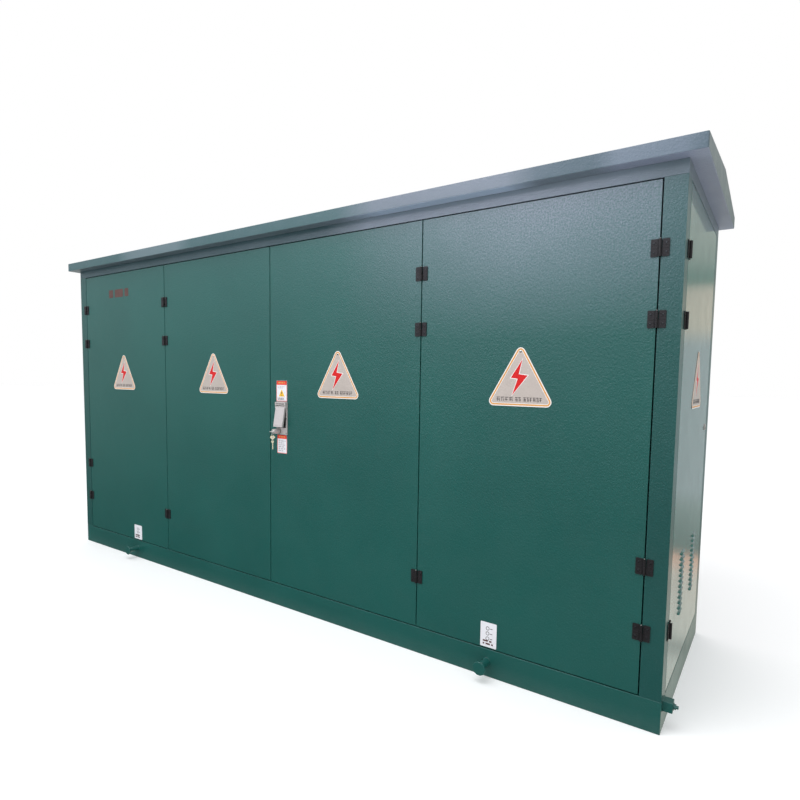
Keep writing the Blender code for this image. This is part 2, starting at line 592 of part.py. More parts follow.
def build_transformer(grey, core_look, porcelain, epoxy, black):
    """The oil transformer; it hands on where its bushings stand, for the cables and the busbars."""
    rim = block((-TANK_X - 0.03, TANK_X + 0.03), (-TANK_Y - 0.03, TANK_Y + 0.03), (TANK_Z[1] - 0.012, TANK_Z[1]))
    fins = merged([block((x - 0.005, x + 0.005), (side * (TANK_Y - 0.003), side * (TANK_Y + 0.115)), (0.24, 0.98))
                   for side in (-1, 1) for x in [-0.48 + 0.096 * i for i in range(11)]])
    skids = merged([block((x - 0.035, x + 0.035), (-0.30, 0.30), (0.1128, TANK_Z[0] + 0.003))
                    for x in (-RAIL_X, RAIL_X)])
    pocket = block((-TANK_X + 0.005, TANK_X - 0.005), (-TANK_Y + 0.005, TANK_Y - 0.005),
                   (TANK_Z[0] + 0.006, TANK_Z[1] + 0.02))
    piece("transformer_tank", block((-TANK_X, TANK_X), (-TANK_Y, TANK_Y), TANK_Z), grey,
          join=(rim, fins, skids), cut=(pocket,))
    lid_z = (TANK_Z[1] + TOUCH, TANK_Z[1] + TOUCH + 0.012)
    piece("tank_lid", block((-TANK_X - 0.03, TANK_X + 0.03), (-TANK_Y - 0.03, TANK_Y + 0.03), lid_z), grey)

    coil_pitch, coil_z = 0.325, (0.30, 0.86)
    yokes = merged([block((-0.42, 0.42), (-0.055, 0.055), z) for z in ((0.18, 0.27), (0.89, 0.98))])
    legs = [block((x - 0.055, x + 0.055), (-0.054, 0.054), (0.25, 0.91)) for x in (-coil_pitch, 0, coil_pitch)]
    coils = [prism(circle(x, 0, 0.150, 16), "Z", *coil_z) for x in (-coil_pitch, 0, coil_pitch)]
    piece("core_and_coils", legs[0], core_look, join=(merged(legs[1:]), yokes, merged(coils)), smooth=True)

    top = lid_z[1] + TOUCH
    sheds = [(0, 0.005), (0.040, 0.005), (0.040, 0.030), (0.026, 0.040)]
    for step in range(4):
        z = 0.065 + 0.045 * step
        sheds += [(0.046, z), (0.027, z + 0.016)]
    sheds += [(0.026, 0.240), (0.011, 0.240), (0.011, 0.280), (0, 0.280)]
    hv_rows = [HV_BUSHING_PITCH * i for i in (-1, 0, 1)]
    bushing_bank("hv_bushings", HV_BUSHING_X, hv_rows, top, sheds, (0.060, 0.012), porcelain)
    low = [(0, 0.005), (0.030, 0.005), (0.030, 0.030), (0.020, 0.038), (0.020, 0.110), (0.009, 0.110),
           (0.009, 0.150), (0, 0.150)]
    lv_rows = [LV_BUSHING_MID + LV_BUSHING_PITCH * (i - 1.5) for i in range(4)]
    bushing_bank("lv_bushings", LV_BUSHING_X, lv_rows, top, low, (0.042, 0.012), epoxy)
    knob = [(0, top), (0.035, top), (0.035, top + 0.010), (0.022, top + 0.014), (0.022, top + 0.045), (0, top + 0.045)]
    pointer = block((-0.004, 0.004), (-0.034, -0.010), (top + 0.008, top + 0.040))
    piece("tap_changer_knob", turned(knob, 0, 0, "Z", 12), black, (0.02, -0.14, 0), join=(pointer,), smooth=True)
    return hv_rows, lv_rows, top


def arc(centre, radius, start, stop, steps=4):
    """Points of an arc, in (x, z); the angles are in degrees."""
    angles = [math.radians(start + (stop - start) * i / steps) for i in range(steps + 1)]
    return [(centre[0] + radius * math.cos(t), centre[1] + radius * math.sin(t)) for t in angles]


def build_connections(hv_rows, lv_rows, top, cable_look, copper):
    """Cables from the switchgear to the HV bushings, and bars from the LV bushings to the main breaker."""
    bend, level, drop_x = 0.10, 1.49, -1.05
    path = [(HV_BUSHING_X, top + 0.2803)]
    path += arc((HV_BUSHING_X - bend, level - bend), bend, 0, 90)
    path += arc((drop_x + bend, level - bend), bend, 90, 180)
    path += [(drop_x, SWITCH_Z[1] + TOUCH)]
    cables = [bent_rod(path, y, 0.0125) for y in hv_rows]
    cleat = block((-0.92, -0.88), (hv_rows[0] - 0.03, hv_rows[-1] + 0.03), (level - 0.022, level + 0.022))
    piece("hv_cables", cleat, cable_look, join=(merged(cables),), smooth=True)
    bar_z = (top + 0.150 + TOUCH, top + 0.150 + TOUCH + 0.008)
    bars = [block((LV_BUSHING_X - 0.02, BREAKER_X[0] - TOUCH), (y - 0.020, y + 0.020), bar_z) for y in lv_rows]
    support = block((0.88, 0.91), (lv_rows[0] - 0.035, lv_rows[-1] + 0.035), (bar_z[0] - 0.018, bar_z[1] + 0.018))
    piece("lv_busbars", support, copper, join=(merged(bars),))


def build_switchgear(grey, black):
    legs = merged([block((x - 0.025, x + 0.025), (y - 0.025, y + 0.025), (BASE_HEIGHT + SHEET + 2 * TOUCH, 0.203))
                   for x in inset(SWITCH_X, 0.03) for y in inset(SWITCH_Y, 0.03)])
    hole = prism(circle(-1.35, 0.95, 0.0125, 12), "Y", SWITCH_Y[0] - 0.02, SWITCH_Y[0] + 0.02)
    piece("hv_switchgear", tray(SWITCH_X, SWITCH_Z, SWITCH_Y[0], SWITCH_Y[1] - SWITCH_Y[0], 0.03), grey,
          join=(legs,), cut=(hole,))
    face = SWITCH_Y[0]
    hub = [(0, -0.040), (0.024, -0.040), (0.024, -TOUCH), (0.012, -TOUCH), (0.012, 0.05), (0, 0.05)]
    lever = block((-0.012, 0.012), (-0.036, -0.018), (0.010, 0.160))
    piece("hv_switch_handle", turned(hub, 0, 0, "Y", 12), black, (-1.35, face, 0.95), join=(lever,), smooth=True)


def build_lv_board(grey, moulding, black):
    feet = merged([block((x - 0.02, x + 0.02), BOARD_Y, (BASE_HEIGHT + SHEET + 2 * TOUCH, BOARD_Z[0] + 0.003))
                   for x in inset(BOARD_X, 0.03)])
    piece("lv_board", tray(BOARD_X, BOARD_Z, BOARD_Y[0], BOARD_Y[1] - BOARD_Y[0], 0.02), grey, join=(feet,))
    slot = block((1.185, 1.215), (BREAKER_Y[0] - 0.02, BREAKER_Y[0] + 0.030), (1.21, 1.29))
    cheek = block((BREAKER_X[0] + 0.03, BREAKER_X[1] - 0.03), (BREAKER_Y[0] - 0.012, BREAKER_Y[0] + 0.005),
                  (1.15, 1.35))
    piece("main_breaker", block(BREAKER_X, (BREAKER_Y[0], BOARD_Y[0] - TOUCH), BREAKER_Z), moulding,
          join=(cheek,), cut=(slot,))
    pivot = (1.20, BREAKER_Y[0] + 0.012, 1.25)
    toggle = prism([(-0.050, -0.009), (0.006, -0.012), (0.006, 0.012), (-0.050, 0.009)], "X", -0.011, 0.011)
    piece("breaker_toggle", toggle, black, pivot)
    rail = block((1.00, 1.72), (BOARD_Y[0] - 0.02, BOARD_Y[0] - TOUCH), (0.62, 0.68))
    feeders = merged([block((x, x + 0.105), (BOARD_Y[0] - 0.12, BOARD_Y[0] - 0.010), (0.55, 0.75))
                      for x in [1.02 + 0.142 * i for i in range(5)]])
    piece("feeder_breakers", rail, moulding, join=(feeders,))


def build():
    for thing in list(bpy.data.objects):
        bpy.data.objects.remove(thing, do_unlink=True)
    green = finish("green_powder_coat", (0.030, 0.125, 0.105), 0.38)
    rubber = finish("seal_rubber", (0.02, 0.02, 0.02), 0.8)
    black = finish("black_hinge", (0.02, 0.02, 0.022), 0.45)
    alloy = finish("plate_alloy", (0.62, 0.57, 0.53), 0.35, 0.6)
    steel = finish("satin_steel", (0.60, 0.59, 0.57), 0.3, 1.0)
    brass = finish("key_metal", (0.62, 0.57, 0.44), 0.3, 1.0)
    galvanised = finish("galvanised_sheet", (0.50, 0.52, 0.53), 0.45, 0.9)
    grey = finish("equipment_grey", (0.42, 0.45, 0.45), 0.5)
    core_look = finish("core_and_winding", (0.28, 0.16, 0.08), 0.6)
    porcelain = finish("porcelain", (0.20, 0.07, 0.035), 0.15)
    epoxy = finish("epoxy", (0.35, 0.08, 0.05), 0.35)
    cable_look = finish("cable_sheath", (0.10, 0.02, 0.02), 0.5)
    copper = finish("copper", (0.72, 0.38, 0.24), 0.3, 1.0)
    moulding = finish("breaker_moulding", (0.07, 0.075, 0.08), 0.5)
    build_frame(green, rubber)
    build_roof(green)
    doors = build_front_doors(green, black, alloy)
    build_end_doors(green, black, alloy, steel)
    build_door_lock(doors["door_3"], steel, brass)
    build_floors(galvanised)
    hv_rows, lv_rows, top = build_transformer(grey, core_look, porcelain, epoxy, black)
    build_connections(hv_rows, lv_rows, top, cable_look, copper)
    build_switchgear(grey, black)
    build_lv_board(grey, moulding, black)


build()
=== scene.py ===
"""Looks for the pad-mounted transformer kiosk: materials, hinges, signs, labels, fittings and studio.

Metres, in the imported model's frame: +Z up, the four-leaf front faces -Y, the vented low-voltage end +X.
"""
import json
import math
import random

import bmesh
import bpy
from mathutils import Matrix, Vector

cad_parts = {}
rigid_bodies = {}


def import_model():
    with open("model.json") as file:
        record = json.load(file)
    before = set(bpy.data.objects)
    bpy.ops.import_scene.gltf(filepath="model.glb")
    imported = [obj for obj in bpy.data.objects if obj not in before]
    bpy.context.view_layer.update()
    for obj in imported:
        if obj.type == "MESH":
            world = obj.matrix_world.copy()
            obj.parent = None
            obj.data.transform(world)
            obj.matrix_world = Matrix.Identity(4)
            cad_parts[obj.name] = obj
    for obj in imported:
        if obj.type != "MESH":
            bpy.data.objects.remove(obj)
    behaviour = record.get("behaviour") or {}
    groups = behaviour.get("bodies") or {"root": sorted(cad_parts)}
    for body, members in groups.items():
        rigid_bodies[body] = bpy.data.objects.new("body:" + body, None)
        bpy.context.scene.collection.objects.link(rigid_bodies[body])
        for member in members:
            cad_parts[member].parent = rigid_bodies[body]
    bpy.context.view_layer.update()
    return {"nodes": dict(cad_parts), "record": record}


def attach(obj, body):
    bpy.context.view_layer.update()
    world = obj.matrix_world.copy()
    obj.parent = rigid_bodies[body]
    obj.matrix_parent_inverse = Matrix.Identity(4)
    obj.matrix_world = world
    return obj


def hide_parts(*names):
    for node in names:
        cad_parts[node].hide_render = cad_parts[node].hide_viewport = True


for thing in list(bpy.data.objects):
    bpy.data.objects.remove(thing, do_unlink=True)
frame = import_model()
NODES = frame["nodes"]

HALF_W, HALF_D = 2.0, 0.5
HINGE_OUT = 0.0065
FRONT_AXIS, END_AXIS = 1.9225, -0.4225
LEAF, END_LEAF = FRONT_AXIS / 2, -2 * END_AXIS
PLATE_SHIFT = {4: -0.011}
POST_HINGES = (1.713, 1.472, 0.6, 0.358)
FOLD_HINGES = (1.713, 1.472, 0.358)

# Faces of the equipment inside, outwards from the front wall; the tank's lid; the rows of bushings across it.
SWITCH_FACE, BOARD_FACE, BREAKER_FACE, FEEDER_FACE = -0.2, -0.77, -0.38, -0.65
TANK_LID = 1.0723
HV_ROWS, LV_ROWS = (-0.16, 0.0, 0.16), [0.04 + 0.09 * (i - 1.5) for i in range(4)]

# A wall's own frame is (right, out, up) as seen from outside; these turn it into the row frame.
WALLS = {
    "front": Matrix(((1, 0, 0, 0), (0, -1, 0, -HALF_D), (0, 0, 1, 0), (0, 0, 0, 1))),
    "rear": Matrix(((-1, 0, 0, 0), (0, 1, 0, HALF_D), (0, 0, 1, 0), (0, 0, 0, 1))),
    "right": Matrix(((0, 1, 0, HALF_W), (1, 0, 0, 0), (0, 0, 1, 0), (0, 0, 0, 1))),
    "left": Matrix(((0, -1, 0, -HALF_W), (-1, 0, 0, 0), (0, 0, 1, 0), (0, 0, 0, 1))),
    "row": Matrix.Identity(4),
}


# ---------------------------------------------------------------- materials

class Look:
    """One node material, built up from a Principled shader in the object's own coordinates."""

    def __init__(self, name, colour, roughness, metallic=0.0, **sockets):
        self.material = bpy.data.materials.new(name)
        self.material.use_nodes = True
        self.material.diffuse_color = (*colour, 1.0)
        self.tree = self.material.node_tree
        self.shader = self.tree.nodes["Principled BSDF"]
        self.place = self.add("ShaderNodeTexCoord").outputs["Object"]
        self.height = None
        self.set("Base Color", (*colour, 1.0))
        self.set("Roughness", roughness)
        self.set("Metallic", metallic)
        for socket, value in sockets.items():
            self.set(socket.replace("_", " "), value)

    def set(self, socket, value):
        self.shader.inputs[socket].default_value = value

    def add(self, kind, inputs=(), **settings):
        node = self.tree.nodes.new(kind)
        for key, value in settings.items():
            setattr(node, key, value)
        for key, value in dict(inputs).items():
            if isinstance(value, bpy.types.NodeSocket):
                self.tree.links.new(value, node.inputs[key])
            else:
                node.inputs[key].default_value = value
        return node

    def stretched(self, scale):
        return self.add("ShaderNodeMapping", {"Vector": self.place, "Scale": scale}).outputs["Vector"]

    def noise(self, scale, detail=3.0, rough=0.5, stretch=None):
        where = self.stretched(stretch) if stretch else self.place
        return self.add("ShaderNodeTexNoise", {"Vector": where, "Scale": scale, "Detail": detail,
                                               "Roughness": rough}).outputs["Fac"]

    def cells(self, scale):
        return self.add("ShaderNodeTexVoronoi", {"Vector": self.place, "Scale": scale}).outputs["Color"]

    def patches(self, scale, detail=3.0, rough=0.5, span=(0.3, 0.7), to=(0.0, 1.0)):
        """Noise with its middle span of values stretched over another."""
        return self.remap(self.noise(scale, detail, rough), *span, *to)

    def remap(self, value, low, high, to_low, to_high):
        return self.add("ShaderNodeMapRange", {"Value": value, "From Min": low, "From Max": high,
                                               "To Min": to_low, "To Max": to_high}).outputs["Result"]

    def math(self, operation, a, b=0.0):
        return self.add("ShaderNodeMath", {0: a, 1: b}, operation=operation).outputs["Value"]

    def mix(self, factor, a, b, blend="MIX"):
        node = self.add("ShaderNodeMix", data_type="RGBA", blend_type=blend)
        for index, value in ((0, factor), (6, a), (7, b)):
            if isinstance(value, bpy.types.NodeSocket):
                self.tree.links.new(value, node.inputs[index])
            else:
                node.inputs[index].default_value = value if index == 0 else (*value, 1.0)
        return node.outputs[2]

    def drive(self, socket, output):
        self.tree.links.new(output, self.shader.inputs[socket])

    def bump(self, height, distance, strength=1.0):
        inputs = {"Height": height, "Distance": distance, "Strength": strength}
        if self.height:
            inputs["Normal"] = self.height
        self.height = self.add("ShaderNodeBump", inputs).outputs["Normal"]
        self.drive("Normal", self.height)

    def edges(self, radius):
        """0 on flat faces, rising to 1 on edges tighter than the radius."""
        soft = self.add("ShaderNodeBevel", {"Radius": radius}, samples=3).outputs["Normal"]
        true = self.add("ShaderNodeNewGeometry").outputs["Normal"]
        same = self.add("ShaderNodeVectorMath", {0: soft, 1: true}, operation="DOT_PRODUCT").outputs["Value"]
        return self.remap(same, 0.995, 0.9, 0.0, 1.0)


def coat(name, base, deep, roughness, worn, grain=1.0, edge=0.35, painted_light=(), sheen_grain=0.0, gloss=(0.18, 0.12)):
    """Semi-gloss textured powder coat: tone drift, fine speckle, orange peel, rubbed edges and dust low down,
    plus painted light.

    Each painted-light patch is (colour, amount, spans): a painted sheen, painted reflection or painted shade
    mixed into the base colour by position; each span (axis, from, to, least) makes it grow from least to 1.
    """
    look = Look(name, base, roughness, Specular_IOR_Level=0.55, Coat_Weight=gloss[0], Coat_Roughness=gloss[1])
    drift = look.mix(look.patches(1.7, 2.0, span=(0.35, 0.65)), deep, base)
    where = look.add("ShaderNodeSeparateXYZ", {0: look.place}).outputs
    # Painted light: each patch mixes a painted sheen, reflection or shade colour into the base colour where
    # its spans allow, broken into fine grain by a noise.
    for colour, amount, spans in painted_light:
        grow = look.math("MULTIPLY", look.patches(2.6, 4.0, 0.6, to=(0.86 * amount, 1.06 * amount)),
                         look.patches(150.0, 2.0, 0.6, (0.36, 0.64), (1 - sheen_grain, 1 + sheen_grain)))
        for axis, start, end, least in spans:
            grow = look.math("MULTIPLY", grow, look.remap(where[axis], start, end, least, 1.0))
        drift = look.mix(grow, drift, colour)
    speckle = look.patches(230.0, 2.0, 0.6, (0.58, 0.8), (0.0, 0.22 * grain))
    tone = look.mix(speckle, drift, worn)
    rubbed = look.patches(38.0, 4.0, 0.5, (0.42, 0.66), (0.05, edge))
    tone = look.mix(look.math("MULTIPLY", look.edges(0.0025), rubbed), tone, worn)
    dust = look.math("MULTIPLY", look.remap(where["Z"], 0.07, 0.0, 0.0, 0.14), look.noise(24.0, 5.0, 0.65))
    look.drive("Base Color", look.mix(dust, tone, (0.22, 0.26, 0.24)))
    blotch = look.patches(9.0, 4.0, 0.6, to=(-0.035, 0.045))
    look.drive("Roughness", look.math("ADD", look.math("ADD", blotch, dust), roughness))
    for scale, rough, height in ((165.0, 0.55, 0.00105), (62.0, 0.5, 0.00018), (620.0, 0.6, 0.00005)):
        look.bump(look.noise(scale, 2.0, rough), height * grain)
    return look.material


def brushed(name, colour, roughness, along=(1, 1, 0.04), dark=0.8, metal=1.0):
    """Brushed or drawn metal with a lengthwise grain, smudges and fine scratches."""
    look = Look(name, colour, roughness, metal)
    grain = look.noise(900.0, 2.0, 0.6, along)
    smudge = look.patches(26.0, 4.0, 0.6, to=(-0.06, 0.1))
    darker = tuple(c * dark for c in colour)
    look.drive("Base Color", look.mix(look.remap(grain, 0.3, 0.7, 0.0, 1.0), darker, colour))
    look.drive("Roughness", look.math("ADD", smudge, roughness))
    look.bump(grain, 0.00004)
    return look.material


def plastic(name, colour, roughness, grain_scale=700.0, grain=0.00004, drift=0.82, **sockets):
    """Moulded or painted surface with slight mottling, uneven gloss and a fine texture."""
    look = Look(name, colour, roughness, **sockets)
    darker = tuple(c * drift for c in colour)
    look.drive("Base Color", look.mix(look.patches(12.0, 5.0, 0.6), darker, colour))
    look.drive("Roughness", look.math("ADD", look.patches(31.0, to=(-0.05, 0.07)), roughness))
    look.bump(look.noise(grain_scale, 2.0, 0.6), grain)
    return look.material


def galvanised():
    """Hot-dip zinc: crystals of different greys, with dull patches."""
    look = Look("galvanised_sheet", (0.5, 0.52, 0.53), 0.42, 0.85)
    crystals = look.cells(70.0)
    shade = look.add("ShaderNodeSeparateColor", {0: crystals}).outputs[0]
    tone = look.mix(shade, (0.36, 0.38, 0.39), (0.58, 0.6, 0.61))
    dull = look.patches(5.0, 4.0, 0.5, (0.45, 0.75), (0.0, 0.5))
    look.drive("Base Color", look.mix(dull, tone, (0.62, 0.62, 0.6)))
    look.drive("Roughness", look.remap(shade, 0.0, 1.0, 0.32, 0.55))
    look.bump(shade, 0.00003)
    return look.material


def windings():
    """Varnished coils: fine turns of wire round each leg, browned unevenly."""
    look = Look("core_and_winding", (0.28, 0.16, 0.08), 0.5, Coat_Weight=0.4, Coat_Roughness=0.2)
    turns = look.add("ShaderNodeTexWave", {"Vector": look.place, "Scale": 60.0, "Distortion": 0.2},
                     wave_type="BANDS", bands_direction="Z").outputs["Fac"]
    tone = look.mix(turns, (0.14, 0.075, 0.035), (0.34, 0.19, 0.09))
    brown = look.patches(9.0, 4.0, 0.5, (0.4, 0.7), (0.0, 0.6))
    look.drive("Base Color", look.mix(brown, tone, (0.2, 0.1, 0.05)))
    look.bump(turns, 0.0006)
    return look.material


TEAL, TEAL_DEEP, TEAL_WORN = (0.0065, 0.089, 0.076), (0.005, 0.08, 0.0685), (0.085, 0.215, 0.19)
POST_TEAL, POST_DEEP = (0.0058, 0.073, 0.065), (0.0046, 0.066, 0.059)
# The roof's and top rail's blue-grey base colours and their deeper tones are painted reflection: the same
# green paint shown pale blue-grey as if it mirrored bright light from above.
ROOF_PAINTED_REFLECTION_BLUE, ROOF_DEEP, ROOF_WORN = (0.128, 0.163, 0.2), (0.116, 0.149, 0.183), (0.22, 0.28, 0.31)
RAIL_PAINTED_REFLECTION_BLUE, RAIL_DEEP = (0.152, 0.196, 0.24), (0.134, 0.174, 0.216)

# Painted light on the coats, mixed into the base colour by position: painted sheen, painted reflection and
# painted shade. The roof's differ on its underside, its fascia and its slopes above the crease.
# Doors and posts: a pale blue-grey painted sheen, growing towards the top and towards the right end.
DOOR_PAINTED_SHEEN = ((0.175, 0.208, 0.258), 0.74, (("X", 0.5, 1.5, 0.03), ("Z", 1.42, 1.98, 0.0)))
POST_PAINTED_SHEEN = ((0.118, 0.158, 0.195), 0.4, (("X", 1.0, 1.9, 0.1), ("Z", 1.4, 1.985, 0.0)))
# Top rail: painted shade, darker teal towards the left end and darker towards the right end.
RAIL_PAINTED_SHADE = (((0.02, 0.06, 0.07), 0.92, (("X", 0.66, 0.4, 0.0),)),
               ((0.095, 0.135, 0.16), 0.85, (("X", 1.78, 1.95, 0.0),)))
EAVE_LOW, EAVE_HIGH, CREASE_LOW, CREASE_HIGH = 1.9972, 1.9986, 2.049, 2.052
OVER_EAVE, UNDER_EAVE = ("Z", EAVE_LOW, EAVE_HIGH, 0.0), ("Z", EAVE_HIGH, EAVE_LOW, 0.0)
ON_SLOPE, ON_FASCIA = ("Z", CREASE_LOW, CREASE_HIGH, 0.0), ("Z", CREASE_HIGH, CREASE_LOW, 0.0)
# Roof: bands of painted reflection and painted shade; teal to the left, pale patches and dark patches along
# the fascia and the soffit, darker slopes and gable at the right end.
ROOF_PAINTED_LIGHT_AND_SHADE = (
    ((0.025, 0.088, 0.092), 0.92, (("X", 0.74, 0.52, 0.0), OVER_EAVE)),
    ((0.126, 0.178, 0.202), 0.8, (("X", -1.4, -1.22, 0.0), ("X", -0.6, -0.74, 0.0), OVER_EAVE, ON_FASCIA)),
    ((0.048, 0.08, 0.1), 0.95, (("X", 1.0, 1.95, 0.0), ON_SLOPE)),
    ((0.022, 0.063, 0.081), 0.9, (("X", 1.37, 1.5, 0.0), OVER_EAVE, ON_FASCIA)),
    ((0.124, 0.164, 0.212), 0.9, (("X", 1.7, 1.79, 0.0), ("X", 2.1, 1.98, 0.0), OVER_EAVE, ON_FASCIA)),
    ((0.054, 0.087, 0.109), 1.0, (("X", 2.052, 2.058, 0.0), OVER_EAVE)),
    ((0.09, 0.13, 0.145), 0.8, (("X", 0.5, 0.3, 0.0), UNDER_EAVE)),
    ((0.35, 0.445, 0.58), 0.9, (("X", 0.52, 0.74, 0.0), ("X", 1.5, 1.36, 0.0), UNDER_EAVE)),
    ((0.205, 0.235, 0.32), 0.95, (("X", 1.7, 1.79, 0.0), UNDER_EAVE)),
)
MATERIALS = {
    # green_coat, post_coat, roof_coat and rail_coat carry painted light by position; end_coat and
    # equipment_grey carry none.
    "green_coat": coat("green_powder_coat", TEAL, TEAL_DEEP, 0.33, TEAL_WORN, painted_light=(DOOR_PAINTED_SHEEN,),
                       sheen_grain=0.45),
    "post_coat": coat("green_powder_coat_post", POST_TEAL, POST_DEEP, 0.33, TEAL_WORN, painted_light=(POST_PAINTED_SHEEN,),
                      sheen_grain=0.3),
    "roof_coat": coat("green_powder_coat_roof", ROOF_PAINTED_REFLECTION_BLUE, ROOF_DEEP, 0.36, ROOF_WORN, painted_light=ROOF_PAINTED_LIGHT_AND_SHADE),
    "rail_coat": coat("green_powder_coat_rail", RAIL_PAINTED_REFLECTION_BLUE, RAIL_DEEP, 0.36, ROOF_WORN, painted_light=RAIL_PAINTED_SHADE),
    "end_coat": coat("green_powder_coat_end", TEAL, TEAL_DEEP, 0.2, TEAL_WORN, 0.25, gloss=(0.6, 0.05)),
    "seal_rubber": plastic("seal_rubber", (0.012, 0.012, 0.013), 0.75, 400.0, 0.0001, 0.6),
    "hinge_black": plastic("hinge_black_coat", (0.0165, 0.0145, 0.016), 0.48, 900.0, 0.00006, 0.7,
                           Specular_IOR_Level=0.35),
    "plate_alloy": plastic("plate_alloy", (0.5, 0.44, 0.4), 0.36, 500.0, 0.00003, 0.93, Metallic=0.15),
    "satin_steel": brushed("satin_steel", (0.56, 0.52, 0.51), 0.34, metal=0.25),
    "key_metal": brushed("key_metal", (0.74, 0.72, 0.68), 0.24, (1, 0.1, 1), metal=0.45),
    "galvanised": galvanised(),
    "equipment_grey": coat("equipment_grey", (0.4, 0.43, 0.43), (0.36, 0.39, 0.39), 0.4, (0.6, 0.62, 0.62),
                           0.6, 0.2),
    "core_winding": windings(),
    "porcelain": plastic("porcelain", (0.17, 0.055, 0.028), 0.12, 60.0, 0.0001, 0.6, Coat_Weight=0.6,
                         Coat_Roughness=0.04),
    "epoxy": plastic("epoxy_resin", (0.33, 0.07, 0.045), 0.34, 300.0, 0.00008),
    "cable_sheath": plastic("cable_sheath", (0.11, 0.016, 0.016), 0.46, 260.0, 0.0001, 0.7),
    "copper": brushed("copper", (0.74, 0.4, 0.27), 0.3, (0.04, 1, 1), 0.88),
    "moulding": plastic("breaker_moulding", (0.062, 0.066, 0.072), 0.48, 800.0, 0.00008),
    "control_black": plastic("control_black", (0.016, 0.016, 0.018), 0.36, 900.0, 0.00006),
    "orange": plastic("print_orange", (0.66, 0.3, 0.075), 0.42, drift=0.9),
    "red": plastic("print_red", (0.62, 0.012, 0.014), 0.45, drift=0.88, Specular_IOR_Level=0.25),
    "header": plastic("print_header_red", (0.74, 0.058, 0.036), 0.45, drift=0.9, Specular_IOR_Level=0.3),
    "ink": plastic("print_ink", (0.105, 0.09, 0.088), 0.5, drift=0.8),
    "grey": plastic("print_grey", (0.5, 0.49, 0.52), 0.5, drift=0.85),
    "yellow": plastic("print_yellow", (0.83, 0.47, 0.02), 0.42, drift=0.9),
    "film": plastic("label_film", (0.74, 0.74, 0.78), 0.3, 300.0, 0.00003, 0.94),
    "faded": plastic("stencil_faded_red", (0.115, 0.045, 0.035), 0.5, drift=0.6),
    "rim": plastic("plate_rim", (0.8, 0.78, 0.76), 0.3, drift=0.95),
    "ivory": plastic("key_tag_ivory", (0.7, 0.64, 0.46), 0.38, drift=0.88),
    "zinc": brushed("zinc_plate", (0.58, 0.57, 0.52), 0.34, (1, 1, 0.3)),
    "dark_steel": brushed("dark_steel", (0.055, 0.058, 0.06), 0.45, (1, 1, 0.3)),
    "white_dial": plastic("gauge_dial", (0.78, 0.78, 0.75), 0.5, drift=0.95),
}


# ---------------------------------------------------------------- shapes

def box(x, y, z):
    """A cuboid between (low, high) pairs, as (points, faces)."""
    points = [(a, b, c) for c in z for b in y for a in x]
    return points, [(0, 2, 3, 1), (4, 5, 7, 6), (0, 1, 5, 4), (2, 6, 7, 3), (0, 4, 6, 2), (1, 3, 7, 5)]


def prism(outline, low, high, axis="N"):
    """An outline extruded: along N it is in (right, up), along Z in (x, y), along X in (y, z)."""
    order = {"N": lambda a, b, c: (a, c, b), "Z": lambda a, b, c: (a, b, c),
             "X": lambda a, b, c: (c, a, b)}[axis]
    points = [order(a, b, c) for c in (low, high) for a, b in outline]
    n = len(outline)
    sides = [(i, (i + 1) % n, n + (i + 1) % n, n + i) for i in range(n)]
    return points, [tuple(range(n)), tuple(range(n, 2 * n)), *sides]


def circle(a, b, radius, sides=24, start=0.0):
    steps = [start + 2 * math.pi * i / sides for i in range(sides)]
    return [(a + radius * math.cos(t), b + radius * math.sin(t)) for t in steps]


def ring(outer, inner, low, high):
    """A frame between two outlines of the same count, extruded outwards from the wall."""
    n = len(outer)
    points = [(a, c, b) for outline in (outer, inner) for c in (low, high) for a, b in outline]
    faces = []
    for i in range(n):
        j = (i + 1) % n
        faces += [(i, j, n + j, n + i), (2 * n + j, 2 * n + i, 3 * n + i, 3 * n + j),
                  (n + i, n + j, 3 * n + j, 3 * n + i), (i, 2 * n + i, 2 * n + j, j)]
    return points, faces


def lathe(profile, centre, axis="N", sides=24):
    """(radius, height) points turned round an axis through the centre, with both ends closed."""
    first, last = [[(0, height)] if radius else [] for radius, height in (profile[0], profile[-1])]
    order = {"N": lambda a, b, c: (centre[0] + a, centre[1] + c, centre[2] + b),
             "Z": lambda a, b, c: (centre[0] + a, centre[1] + b, centre[2] + c),
             "X": lambda a, b, c: (centre[0] + c, centre[1] + a, centre[2] + b)}[axis]
    points, faces, previous = [], [], None
    for radius, height in first + profile + last:
        count = sides if radius else 1
        here = list(range(len(points), len(points) + count))
        points += [order(a, b, height) for a, b in (circle(0, 0, radius, sides) if radius else [(0, 0)])]
        for i in range(sides if previous else 0):
            j = (i + 1) % sides
            low = [previous[i], previous[j]] if len(previous) > 1 else [previous[0]]
            high = [here[j], here[i]] if len(here) > 1 else [here[0]]
            faces.append(tuple(low + high))
        previous = here
    return points, faces


def tube(path, radius, sides=12, closed=False):
    """A round rod along a list of points, open-ended paths with flat caps."""
    path = [Vector(p) for p in path]
    count = len(path)
    points, faces = [], []
    lift = Vector((0, 0, 1))
    for i, point in enumerate(path):
        back = path[i - 1 if closed else max(i - 1, 0)]
        ahead = path[(i + 1) % count if closed else min(i + 1, count - 1)]
        run = (ahead - back).normalized()
        side = run.cross(lift if abs(run.z) < 0.95 else Vector((0, 1, 0))).normalized()
        up = side.cross(run)
        points += [tuple(point + side * a + up * b) for a, b in circle(0, 0, radius, sides)]
    for i in range(count if closed else count - 1):
        for k in range(sides):
            low, high, l = i * sides, (i + 1) % count * sides, (k + 1) % sides
            faces.append((low + k, low + l, high + l, high + k))
    if not closed:
        faces += [tuple(range(sides)), tuple(range((count - 1) * sides, count * sides))]
    return points, faces


